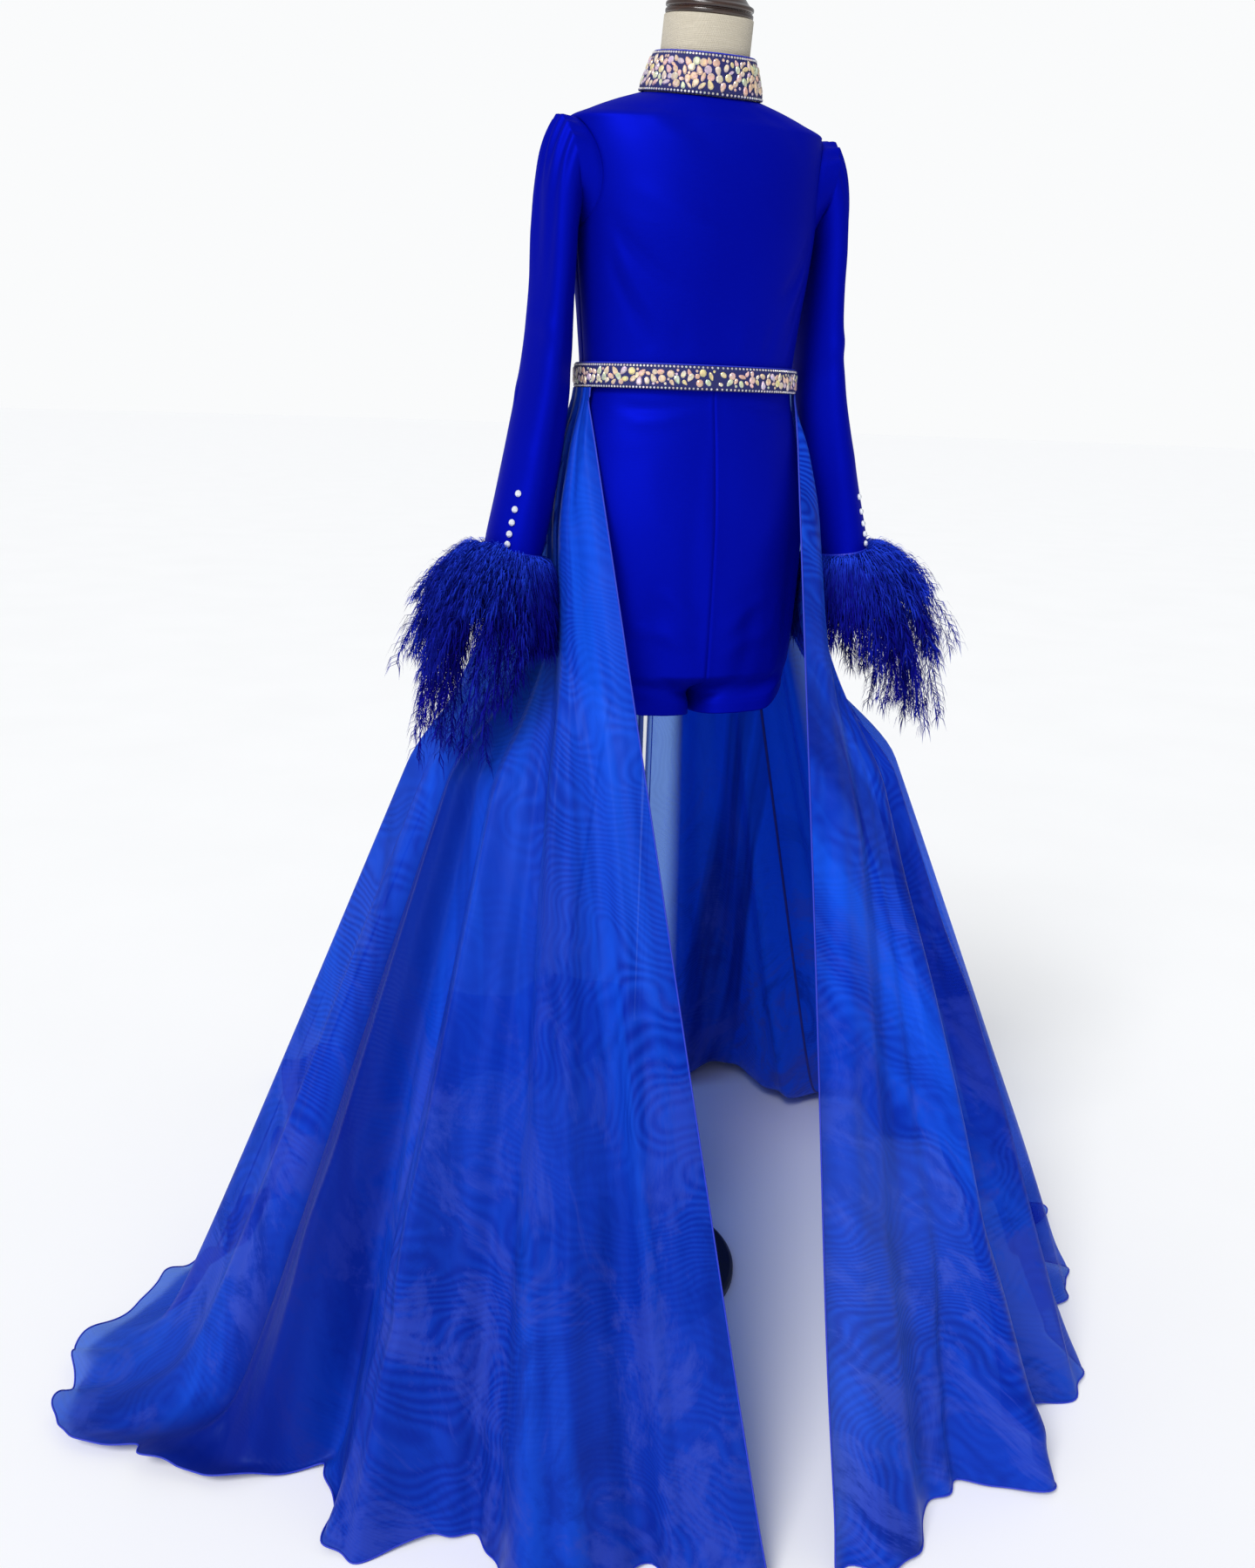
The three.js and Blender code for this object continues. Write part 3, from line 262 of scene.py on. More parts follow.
def narrow_folds(waves, share):
    """Narrow folds between the wide ones, in millimetres at the hem."""
    drift = 0.35 * np.sin(5 * share + waves)
    total = 0
    for often, deep, start in ((2.31, 5.5, 0.4), (3.63, 3.6, 2.1), (5.17, 2.2, 4.4)):
        total = total + deep * np.sin(2 * np.pi * often * waves + start + drift * often)
    return total


def neck_spot(x, y, along):
    """A place on the leaning neck: x and y across it, and how far along it from the neck edge."""
    return np.stack([
        CENTRE[0] + x,
        CENTRE[1] - NECK_FORWARD + y - along * math.sin(NECK_LEAN),
        NECK_EDGE + NECK_TILT * y + along * math.cos(NECK_LEAN),
    ], -1)


def collar_wall(turn, share):
    wide, deep = (blend(foot, top, share) for foot, top in zip(COLLAR_FOOT, COLLAR_TOP))
    return neck_spot(*ring(turn, wide, deep), 0.6 + COLLAR_HIGH * share)


def belt_wall(turn, share):
    x, y = ring(turn, BELT_WIDE, BELT_DEEP)
    return np.stack([CENTRE[0] + x, CENTRE[1] + y, BELT_LOW + BELT_HIGH * share + 0 * x], -1)


# ---- shader maths --------------------------------------------------------------------------------------
class Value:
    """A shader socket that takes part in ordinary sums."""

    def __init__(self, shader, socket):
        self.shader, self.socket = shader, socket

    def _sum(self, operation, first, second):
        return self.shader.node("Math", {"operation": operation}, {0: first, 1: second})

    def __add__(self, other):
        return self._sum("ADD", self, other)

    def __radd__(self, other):
        return self._sum("ADD", other, self)

    def __sub__(self, other):
        return self._sum("SUBTRACT", self, other)

    def __rsub__(self, other):
        return self._sum("SUBTRACT", other, self)

    def __mul__(self, other):
        return self._sum("MULTIPLY", self, other)

    def __rmul__(self, other):
        return self._sum("MULTIPLY", other, self)


class Shader:
    """One material and the few ways in which its nodes are made."""

    def __init__(self, name):
        self.material = bpy.data.materials.new(name)
        self.material.use_nodes = True
        self.tree = self.material.node_tree
        self.tree.nodes.clear()

    def node(self, kind, settings=None, sockets=None, out=0):
        made = self.tree.nodes.new("ShaderNode" + kind)
        for name, value in (settings or {}).items():
            if name == "stops":
                while len(made.color_ramp.elements) < len(value):
                    made.color_ramp.elements.new(1)
                for stop, (place, colour) in zip(made.color_ramp.elements, value):
                    stop.position, stop.color = place, (*colour, 1)
            else:
                setattr(made, name, value)
        for name, value in (sockets or {}).items():
            if isinstance(value, Value):
                self.tree.links.new(value.socket, made.inputs[name])
            else:
                made.inputs[name].default_value = value
        return Value(self, made.outputs[out])

    def cloth(self):
        """Place on the cloth in metres: across, down and the piece's number."""
        return self.painted("cloth", "Vector")

    def painted(self, name, out):
        return self.node("Attribute", {"attribute_name": name}, out=out)

    def place(self):
        return self.node("TexCoord", out="Object")

    def stretch(self, vector, scale):
        return self.node("Mapping", {}, {"Vector": vector, "Scale": scale})

    def split(self, vector, axis):
        return self.node("SeparateXYZ", {}, {0: vector}, out=axis)

    def noise(self, vector, scale, detail=3, rough=0.5, twist=0):
        return self.node("TexNoise", {}, {
            "Vector": vector, "Scale": scale, "Detail": detail, "Roughness": rough, "Distortion": twist,
        })

    def sine(self, value):
        return self.node("Math", {"operation": "SINE"}, {0: value})

    def mix(self, first, second, share):
        return self.node("Mix", {"data_type": "RGBA"}, {0: share, 6: first, 7: second}, out=2)

    def ramp(self, value, *stops):
        return self.node("ValToRGB", {"stops": stops}, {0: value})

    def level(self, value, low, high, at_low, at_high):
        """A value from at_low to at_high as another goes from low to high, and no further."""
        return self.node("MapRange", {}, {0: value, 1: low, 2: high, 3: at_low, 4: at_high})

    def bump(self, height, strength, distance, before=None):
        sockets = {"Height": height, "Strength": strength, "Distance": distance}
        if before is not None:
            sockets["Normal"] = before
        return self.node("Bump", {}, sockets)

    def surface(self, **sockets):
        """A Principled surface. A socket's name has _ for a space."""
        named = {name.replace("_", " "): value for name, value in sockets.items()}
        return self.node("BsdfPrincipled", {}, named)

    def finish(self, **sockets):
        return self.end(self.surface(**sockets))

    def end(self, surface):
        output = self.tree.nodes.new("ShaderNodeOutputMaterial")
        self.tree.links.new(surface.socket, output.inputs["Surface"])
        return self.material


# ---- finishes ------------------------------------------------------------------------------------------
def rgba(r, g, b):
    return (r, g, b, 1)


def satin_finish():
    s = Shader("royal_blue_satin")
    cloth = s.cloth()
    across, down = s.split(cloth, 0), s.split(cloth, 1)
    rows = s.sine(down * 5200)
    ribs = s.sine(across * 4100)
    slub = s.noise(s.stretch(cloth, (90, 900, 1)), 1, 4)
    # The soft drape's relief. Its hollows are also painted darker and its raised parts lighter, a painted
    # shade.
    drape_and_shade = s.noise(s.stretch(cloth, (7, 4, 1)), 1, 2)
    colour = s.mix(rgba(0.0008, 0.0018, 0.26), rgba(0.001, 0.0045, 0.40), drape_and_shade)
    colour = s.mix(colour, rgba(0.0012, 0.008, 0.46), slub * 0.25)
    soft = s.bump(drape_and_shade, 0.2, 0.01)
    weave = s.bump(rows * 0.5 + ribs * 0.35 + slub, 0.1, 0.0004, soft)
    return s.finish(
        Base_Color=colour, Roughness=0.48 + 0.1 * slub, Metallic=0.42, Normal=weave,
        Sheen_Weight=0.05, Sheen_Roughness=0.4, Sheen_Tint=rgba(0.01, 0.06, 1.0),
        Specular_IOR_Level=0.06, Specular_Tint=rgba(0.08, 0.16, 1.0),
    )


def organza_finish():
    """Sheer cloth. Each point's cover says how densely it lies; the rest lets blue light through."""
    s = Shader("royal_blue_organza")
    cloth = s.cloth()
    across, down = s.split(cloth, 0), s.split(cloth, 1)
    wander = s.noise(s.stretch(cloth, (1.7, 2.6, 1)), 1, 3, 0.45)
    grain = s.sine(down * 560 + wander * 520)
    patch = s.noise(s.stretch(cloth, (3.1, 2.3, 1)), 1, 2)
    crush = s.noise(s.stretch(cloth, (26, 9, 1)), 1, 4, 0.6)
    threads = s.sine(down * 3900) * s.sine(across * 3900)
    strength = s.level(patch, 0.40, 0.66, 0.15, 1.0)
    pattern = grain * strength
    colour = s.mix(rgba(0.002, 0.020, 0.36), rgba(0.006, 0.062, 0.60), pattern * 0.5 + 0.5)
    fall = s.noise(s.stretch(cloth, (8.5, 0.55, 1)), 1, 3, 0.55)
    cover = s.painted("cover", "Fac")
    # Where the cloth lies densely it is painted brighter blue: a painted glow that stands for light shining
    # through it.
    colour = s.mix(colour, rgba(0.003, 0.12, 1.0), s.level(cover, 0.92, 1.02, 0, 0.9))
    # Long streaks down the cloth: where the streak noise is high the cloth is painted darker, a painted shade
    # of deep folds, and where it is low lighter, a painted highlight.
    colour = s.mix(colour, rgba(0.0008, 0.008, 0.20), s.level(fall, 0.52, 0.64, 0, 0.75))
    colour = s.mix(colour, rgba(0.008, 0.11, 0.86), s.level(fall, 0.46, 0.36, 0, 0.6))
    # Patches that grow towards the hem: painted sheen where lighter and greyer, and painted shade where
    # darker, as on crumpled cloth.
    crumple_light_and_shade = s.noise(s.stretch(cloth, (7, 6, 1)), 1, 7, 0.72, 0.8)
    low = s.level(down, 0.5, 1.0, 0.1, 1.0)
    colour = s.mix(colour, rgba(0.045, 0.085, 0.55), s.level(crumple_light_and_shade, 0.5, 0.58, 0, 0.75) * low)
    colour = s.mix(colour, rgba(0.001, 0.014, 0.25), s.level(crumple_light_and_shade, 0.46, 0.36, 0, 0.55) * low)
    share = cover + (pattern * 0.035 + (crush - 0.5) * 0.14 + threads * 0.012) * (1.15 - cover)
    colour = s.mix(colour, rgba(0.002, 0.014, 0.24), s.level(down, 0.55, 1.05, 0, 0.3))
    shade = s.painted("shade", "Fac")
    colour = s.mix(colour, rgba(0.0006, 0.006, 0.17), shade * 0.9)
    woven = s.surface(
        Base_Color=colour, Roughness=0.34 + crush * 0.2, Normal=s.bump(crush + pattern * 0.12, 0.3, 0.004),
        Specular_IOR_Level=0.12, Specular_Tint=rgba(0.3, 0.5, 1.0), Sheen_Weight=0.12, Sheen_Roughness=0.3,
        Sheen_Tint=rgba(0.1, 0.3, 1.0),
    )
    open_weave = s.node("BsdfTransparent", {}, {"Color": rgba(0.24, 0.44, 1.0)})
    return s.end(s.node("MixShader", {}, {0: share, 1: open_weave, 2: woven}))


def thread_finish(name, low, high):
    s = Shader(name)
    twist = s.noise(s.stretch(s.place(), (900, 900, 900)), 1, 2)
    colour = s.mix(rgba(*low), rgba(*high), twist)
    return s.finish(Base_Color=colour, Roughness=0.5 + twist * 0.2, Normal=s.bump(twist, 0.4, 0.0003))


def stone_finish():
    s = Shader("iridescent_stones")
    tint = s.painted("tint", "Color")
    cloud = s.noise(s.place(), 420, 2)
    colour = s.mix(tint, rgba(1.0, 0.92, 0.8), cloud * 0.3)
    return s.finish(
        Base_Color=colour, Roughness=0.12 + cloud * 0.12, Metallic=0.15,
        Coat_Weight=0.5, Coat_Roughness=0.05, Specular_IOR_Level=0.5, IOR=1.6,
    )


def chain_finish():
    s = Shader("rhinestone_chain")
    tint = s.painted("tint", "Color")
    cloud = s.noise(s.place(), 600, 2)
    return s.finish(
        Base_Color=s.mix(tint, rgba(1, 1, 1), cloud * 0.3), Roughness=0.06 + cloud * 0.12, Metallic=0.3,
        Coat_Weight=0.8, Coat_Roughness=0.05,
    )


def band_finish():
    s = Shader("navy_band")
    cloth = s.cloth()
    weave = s.sine(s.split(cloth, 0) * 3200) * s.sine(s.split(cloth, 1) * 3200)
    fleck = s.noise(cloth, 700, 2)
    colour = s.mix(rgba(0.003, 0.004, 0.06), rgba(0.01, 0.014, 0.16), fleck)
    return s.finish(
        Base_Color=colour, Roughness=0.6 + fleck * 0.2, Normal=s.bump(weave + fleck, 0.4, 0.0005),
    )


def feather_finish():
    s = Shader("dyed_ostrich_feather")
    tint = s.painted("tint", "Color")
    streak = s.noise(s.stretch(s.place(), (300, 300, 60)), 1, 3)
    colour = s.mix(tint, rgba(0.004, 0.003, 0.16), streak * 0.4)
    return s.finish(
        Base_Color=colour, Roughness=0.55 + streak * 0.25, Sheen_Weight=0.05, Sheen_Roughness=0.4,
        Sheen_Tint=rgba(0.03, 0.06, 1.0), Specular_IOR_Level=0.03, Specular_Tint=rgba(0.1, 0.15, 1.0),
    )


def linen_finish():
    s = Shader("cream_linen")
    place = s.place()
    x, y, z = (s.split(place, axis) for axis in range(3))
    rows = s.sine(z * 4600)
    ribs = s.sine((x + y) * 4600)
    slub = s.noise(s.stretch(place, (60, 60, 700)), 1, 4)
    thick = s.noise(s.stretch(place, (700, 700, 60)), 1, 3)
    colour = s.mix(rgba(0.42, 0.37, 0.28), rgba(0.60, 0.55, 0.45), slub * 0.6 + thick * 0.4)
    height = rows * 0.3 + ribs * 0.3 + slub + thick
    return s.finish(
        Base_Color=colour, Roughness=0.85 + slub * 0.1, Normal=s.bump(height, 0.5, 0.0006),
        Sheen_Weight=0.15, Specular_IOR_Level=0.2,
    )


def wood_finish():
    s = Shader("dark_polished_wood")
    rings = s.noise(s.stretch(s.place(), (26, 26, 190)), 1, 5, 0.6, 1.2)
    pores = s.noise(s.stretch(s.place(), (300, 300, 1400)), 1, 2)
    dark, middle, light = (0.012, 0.005, 0.003), (0.035, 0.013, 0.007), (0.075, 0.03, 0.015)
    colour = s.ramp(rings, (0.3, dark), (0.55, middle), (0.8, light))
    return s.finish(
        Base_Color=colour, Roughness=0.2 + pores * 0.12, Coat_Weight=0.7, Coat_Roughness=0.06,
        Normal=s.bump(rings + pores * 0.4, 0.12, 0.0006),
    )


def chrome_finish():
    s = Shader("polished_chrome")
    streaks = s.noise(s.stretch(s.place(), (260, 260, 6)), 1, 3)
    specks = s.noise(s.place(), 90, 4, 0.7)
    colour = s.mix(rgba(0.62, 0.63, 0.66), rgba(0.85, 0.86, 0.88), streaks)
    return s.finish(
        Base_Color=colour, Metallic=1.0, Roughness=0.07 + specks * 0.12,
        Normal=s.bump(streaks, 0.05, 0.0004),
    )


def stand_finish():
    s = Shader("black_powder_coat")
    grit = s.noise(s.place(), 1400, 2)
    wear = s.noise(s.place(), 14, 5, 0.7)
    colour = s.mix(rgba(0.012, 0.012, 0.015), rgba(0.05, 0.05, 0.055), wear * 0.6)
    return s.finish(
        Base_Color=colour, Roughness=0.38 + wear * 0.2, Metallic=0.2, Normal=s.bump(grit, 0.25, 0.0004),
    )


# ---- meshes --------------------------------------------------------------------------------------------
def make(name, points, faces, material, smooth=True):
    """A mesh object from points in millimetres."""
    mesh = bpy.data.meshes.new(name)
    places = np.asarray(points, float).reshape(-1, 3) * MM
    mesh.from_pydata(places.tolist(), [], [list(map(int, face)) for face in faces])
    mesh.materials.append(material)
    mesh.polygons.foreach_set("use_smooth", np.full(len(mesh.polygons), smooth))
    mesh.update()
    made = bpy.data.objects.new(name, mesh)
    bpy.context.scene.collection.objects.link(made)
    return made


def quads(rows, columns, closed=False, flip=False):
    last = columns if closed else columns - 1
    i, j = np.meshgrid(np.arange(last), np.arange(rows - 1))
    n = (i + 1) % columns
    a, b = j * columns + i, j * columns + n
    faces = np.stack([a, b, b + columns, a + columns], -1).reshape(-1, 4)
    return faces[:, ::-1] if flip else faces


def tube_faces(rows, sides, flip=False):
    """The faces of a stack of closed rings and of its two flat ends."""
    first = list(range(sides))
    last = [(rows - 1) * sides + k for k in first]
    ends = [first, last[::-1]] if flip else [first[::-1], last]
    return quads(rows, sides, closed=True, flip=flip).tolist() + ends


def note(made, name, kind, field, values):
    """Keeps a value at each of a mesh's points."""
    attribute = made.data.attributes.new(name, kind, "POINT")
    attribute.data.foreach_set(field, values.astype(np.float32).ravel())


def lay_out(made, across, down, number):
    """Keeps each point's place on the flat cloth, in metres."""
    spot = np.stack([across, down, np.full_like(across, number)], -1)
    note(made, "cloth", "FLOAT_VECTOR", "vector", spot)


def paint(made, colours):
    full = np.concatenate([colours, np.ones((len(colours), 1))], 1)
    note(made, "tint", "FLOAT_COLOR", "color", full)


def arc(points, axis):
    """Distance along a grid of points in metres, from its first row or column."""
    step = np.linalg.norm(np.diff(points, axis=axis), axis=-1)
    start = np.zeros_like(np.take(step, [0], axis=axis))
    return np.concatenate([start, np.cumsum(step, axis=axis)], axis) * MM


def shell(made, thick):
    """Gives cloth its thickness, inwards."""
    solid = made.modifiers.new("thickness", "SOLIDIFY")
    solid.thickness, solid.offset, solid.use_rim = thick * MM, -1, True
    apply(made)


def apply(made):
    graph = bpy.context.evaluated_depsgraph_get()
    mesh = bpy.data.meshes.new_from_object(
        made.evaluated_get(graph), preserve_all_data_layers=True, depsgraph=graph,
    )
    made.modifiers.clear()
    made.data = mesh


NEARLY_UPRIGHT = np.array([0.13, 0.21, 1.0])


def tube(points, radius, sides=6, flat=1.0):
    """Points and faces of a round cord along a line. flat under 1 presses it."""
    points = np.asarray(points, float)
    along = unit(np.gradient(points, axis=0))
    aside = unit(np.cross(along, NEARLY_UPRIGHT))
    third = np.cross(aside, along)
    angle = np.arange(sides) * 2 * np.pi / sides
    rings = points[:, None] + radius * (
        np.cos(angle)[None, :, None] * aside[:, None] + flat * np.sin(angle)[None, :, None] * third[:, None]
    )
    return rings.reshape(-1, 3), tube_faces(len(points), sides)


def join(parts):
    points, faces, start = [], [], 0
    for p, f in parts:
        points.append(np.asarray(p, float).reshape(-1, 3))
        faces += [[start + k for k in face] for face in f]
        start += len(points[-1])
    return np.concatenate(points), faces


def lathe(profile, segments):
    """A turned shape about an upright line. Ends on the axis close it."""
    profile = np.asarray(profile, float)
    angle = np.arange(segments) * 2 * np.pi / segments
    x = profile[:, :1] * np.cos(angle)
    y = profile[:, :1] * np.sin(angle)
    rings = np.stack([x, y, np.repeat(profile[:, 1:], segments, 1)], -1)
    return rings.reshape(-1, 3), tube_faces(len(profile), segments)


def rounded(profile, cut, steps=3):
    """The profile with each corner turned into a short arc."""
    profile = [np.array(p, float) for p in profile]
    out = [profile[0]]
    for before, corner, after in zip(profile, profile[1:], profile[2:]):
        reach = min(cut, 0.45 * np.linalg.norm(corner - before), 0.45 * np.linalg.norm(after - corner))
        start, end = corner + reach * unit(before - corner), corner + reach * unit(after - corner)
        for t in np.linspace(0, 1, steps + 1):
            out.append((1 - t) ** 2 * start + 2 * t * (1 - t) * corner + t * t * end)
    return out + [profile[-1]]


def creased(across, down, lines):
    """Soft troughs and ridges on a flat layout: from, to, half width, depth and sideways bow."""
    total = np.zeros_like(across)
    for x0, y0, x1, y1, wide, deep, bow in lines:
        dx, dy = x1 - x0, y1 - y0
        length = math.hypot(dx, dy)
        t = ((across - x0) * dx + (down - y0) * dy) / length**2
        off = ((across - x0) * dy - (down - y0) * dx) / length - bow * 4 * t * (1 - t)
        fade = ease(t, -0.08, 0.3) * (1 - ease(t, 0.6, 1.08))
        total += deep * np.exp(-((off / wide) ** 2)) * fade
    return total


# ---- romper --------------------------------------------------------------------------------------------
# Creases, in millimetres across from the centre front or back, and in height: see creased.
FRONT_CREASES = (
    (-118, 1262, -20, 1185, 9, -2.2, 9), (-112, 1245, -38, 1150, 8, 1.5, 8),
    (-120, 1225, -60, 1140, 7, -1.4, 5), (-96, 1290, 10, 1228, 12, 1.2, -8),
    (118, 1262, 62, 1190, 8, -2.2, -6), (112, 1240, 74, 1165, 7, 1.4, -4),
    (124, 1222, 92, 1140, 6, -1.3, 3), (-40, 1382, 30, 1300, 14, -1.0, 10),
    (34, 1380, 84, 1322, 11, -0.9, -6), (-70, 1368, -18, 1330, 10, 0.8, 5),
    (-88, 1180, -60, 1122, 9, -0.9, 0), (-34, 1165, -28, 1120, 8, -0.7, 2),
    (22, 1170, 20, 1122, 9, 0.7, -2), (66, 1175, 58, 1120, 8, -0.8, 3),
    (104, 1180, 96, 1122, 8, 0.9, 0),
)
BACK_CREASES = (
    (-112, 1258, -40, 1190, 9, -2.0, 7), (-116, 1236, -56, 1160, 8, 1.4, 5),
    (114, 1260, 50, 1186, 9, -1.9, -7), (116, 1234, 64, 1152, 7, 1.3, -4),
    (-60, 1175, -52, 1120, 9, -0.9, 2), (-16, 1190, -14, 1124, 7, 0.8, 0),
    (24, 1182, 26, 1120, 8, -0.8, 1), (72, 1178, 66, 1120, 9, 0.9, -2),
    (-44, 1372, 20, 1322, 13, -0.9, 6), (-90, 1330, -34, 1296, 12, 0.9, -5),
    (84, 1338, 30, 1300, 12, 0.9, 5), (-8, 1150, 40, 1138, 8, -0.7, 2),
)
SHORTS_FRONT_CREASES = (
    (-112, 1083, 4, 1089, 6, 2.0, 5), (8, 1090, 108, 1082, 6, 1.8, 4),
    (-96, 1068, -18, 1077, 7, -1.2, 4), (30, 1078, 100, 1066, 7, -1.1, 3),
    (4, 1062, 2, 900, 7, -1.6, 6), (-16, 985, -4, 812, 9, 1.8, 4), (-8, 860, -52, 902, 8, -1.8, 5),
    (-10, 838, -78, 858, 9, -2.2, 5), (10, 850, 62, 892, 9, -1.9, -5),
    (12, 832, 84, 850, 9, -1.7, -5), (-46, 905, -34, 776, 13, 2.6, 6),
    (-78, 900, -84, 782, 12, -1.8, 3), (40, 905, 30, 776, 13, 2.6, -5),
    (74, 905, 82, 782, 13, -2.0, -4), (-104, 960, -98, 820, 12, 1.2, 2),
    (104, 965, 100, 820, 12, 1.2, 2), (-62, 1040, -40, 940, 14, -0.8, 4),
    (60, 1035, 44, 930, 14, -0.8, -4),
)
SHORTS_BACK_CREASES = (
    (-104, 1084, 0, 1090, 6, 1.7, 4), (6, 1090, 106, 1083, 6, 1.7, 4),
    (-90, 1066, -22, 1076, 7, -1.0, 3), (24, 1076, 92, 1066, 7, -1.0, 3),
    (-10, 848, -70, 882, 10, -2.2, 6), (10, 848, 70, 880, 10, -2.1, -6),
    (-14, 826, -86, 838, 9, 1.8, 4), (14, 828, 84, 842, 9, 1.8, -4), (-50, 905, -44, 774, 13, 2.2, 4),
    (48, 905, 42, 774, 13, 2.2, -4), (-86, 930, -82, 790, 12, -1.6, 2),
    (86, 930, 84, 790, 12, -1.5, 2), (0, 1050, 0, 900, 8, -1.5, 3),
)


# How far relief may sink into the satin and rise from it, and a panel's width for each degree round the body.
RELIEF, MM_A_DEGREE, SEAM_LAP, SHORTS_WIDTH = (-1.4, 2.6), 2.05, 0.06, 190
SLEEVE_RADIUS = 0.036
SHORTS_FACES = (("front", 1, SHORTS_FRONT_CREASES), ("back", -1, SHORTS_BACK_CREASES))
# Wrinkles of a sleeve: place along it, turn and half width in degrees, and depth.
SLEEVE_WRINKLES = ((4.1, 60, 50, 1.4), (4.6, 110, 60, -1.2), (5.2, 330, 60, 1.0), (6.4, 80, 55, 0.9))


def settle(piece, slot, *nodes):
    """Lets a piece ride on the object, and hides the solids that it stands for. slot is not used."""
    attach(piece, "root")
    if nodes:
        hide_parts(*nodes)


def declare(made, node, slot):
    settle(made, slot, node)


def looks_inward(points):
    """True if the grid's faces would look at the body's middle line."""
    middle = points.reshape(-1, 3).mean(0)
    row, column = points.shape[0] // 2, points.shape[1] // 2
    a, b, c = points[row, column], points[row, column + 1], points[row + 1, column]
    body = np.array([CENTRE[0], CENTRE[1], middle[2]])
    return float(np.dot(np.cross(b - a, c - a), a - body)) < 0


def satin_panel(node, surface, us, vs, off, number, limits, steps, sign):
    """A panel of satin on its surface. us and vs are grids; off is its height above the surface."""
    inside = (np.clip(us, *limits[:2]), np.clip(vs, *limits[2:]))
    points = surface(us, vs) + off[..., None] * facing(surface, *inside, *steps, sign)
    made = make(node + "_satin", points, quads(*us.shape, flip=looks_inward(points)), FINISH["satin"])
    lay_out(made, arc(points, 1).ravel() + number * 0.37, arc(points, 0).ravel(), number)
    shell(made, SATIN_THICK)
    declare(made, node, "satin")


def seam_edge(distance, wide=3.0, deep=0.9):
    """Cloth turns in where it is sewn."""
    return -deep * np.exp(-((distance / wide) ** 2))


def build_bodice():
    heights = np.concatenate([np.linspace(1108.3, 1356, 92), np.linspace(1357, NECK_EDGE, 22)])
    for node, start, end, hole_at_start, hole_at_end, columns in (
        ("bodice_front", 0, 180, True, True, 130),
        ("bodice_back_right", 180, 270, True, False, 64),
        ("bodice_back_left", 270, 360, False, True, 64),
    ):
        front = node == "bodice_front"
        share, height = grid(np.linspace(0, 1, columns), heights)
        hole = armhole_turn(height)
        low = start - SEAM_LAP + hole * hole_at_start
        high = end + SEAM_LAP - hole * hole_at_end
        turn = blend(low, high, share)
        across = (90 - turn if front else turn - 270) * MM_A_DEGREE
        edge = np.minimum(turn - low, high - turn) * MM_A_DEGREE
        off = creased(across, height, FRONT_CREASES if front else BACK_CREASES)
        off = off * ease(edge, 0, 8) * ease(height, 1130, 1142) * (1 - ease(height, 1371, 1382))
        off = np.clip(off + seam_edge(edge), *RELIEF)
        limits = (-ANYWHERE, ANYWHERE, 0, TORSO_TOP)
        satin_panel(node, torso, turn, height, off, len(node), limits, TORSO_STEPS, -1)


def build_shorts():
    levels = np.concatenate([np.linspace(1107.7, HIP_SEAM, 76), np.linspace(829, HEM_INNER, 44)])
    share, level = grid(np.linspace(-0.0008, 1.0008, 66), levels)
    from_centre, from_side = share * SHORTS_WIDTH, (1 - share) * SHORTS_WIDTH
    limits = (0, 1, HEM_INNER + 0.4, ANYWHERE)
    for side_name, side in SIDES:
        for face_name, face, lines in SHORTS_FACES:
            off = creased(side * from_centre, level, lines) * ease(from_centre, 0, 6) * ease(from_side, 0, 10)
            off = off * (1 - ease(level, 1088, 1098))
            off = off + seam_edge(from_centre, 2.6, 1.1) + seam_edge(from_side, 2.6, 0.8)
            off = np.clip(off + 0.5 * ease(level, 776, 772), *RELIEF)
            node = f"shorts_{face_name}_{side_name}"
            number = len(node) + face
            surface = shorts(side, face)
            satin_panel(
                node, surface, share, level, off, number, limits, SHORTS_STEPS, -side * face,
            )


def sleeve_relief(turn, along):
    """Gathers at the sleeve's top, long folds, wrinkles, the sewn edge and the hem."""
    angle = np.radians(turn)
    top = ease(np.cos(angle), 0.0, 0.75)
    gathers = np.cos(17 * angle + 0.6 * np.sin(3 * angle))
    off = 1.9 * top * np.exp(-(((along - 0.25) / 0.75) ** 2)) * gathers
    off = off + 1.1 * top * ease(along, 0.2, 1.2) * (1 - ease(along, 1.6, 4)) * np.cos(9 * angle + 1.3)
    long_folds = np.cos(3 * angle + 0.5 * along) + 0.7 * np.cos(5 * angle - 0.35 * along + 1.1)
    off = off + 1.15 * long_folds * ease(along, 0.6, 2.4) * (1 - 0.6 * ease(along, 7, 9))
    for place, start, width, deep in SLEEVE_WRINKLES:
        near = np.exp(-(((turn - start + 180) % 360 - 180) / width) ** 2)
        off = off + deep * near * np.exp(-(((along - place - 0.004 * (turn - start)) / 0.22) ** 2))
    off = off - 1.0 * np.exp(-(((along + 1) / 0.16) ** 2)) + 0.6 * ease(along, 8.2, 8.5)
    off = np.where(along > 8.3, np.minimum(off, 0.35), off)
    return np.clip(off, -3, 3.2)


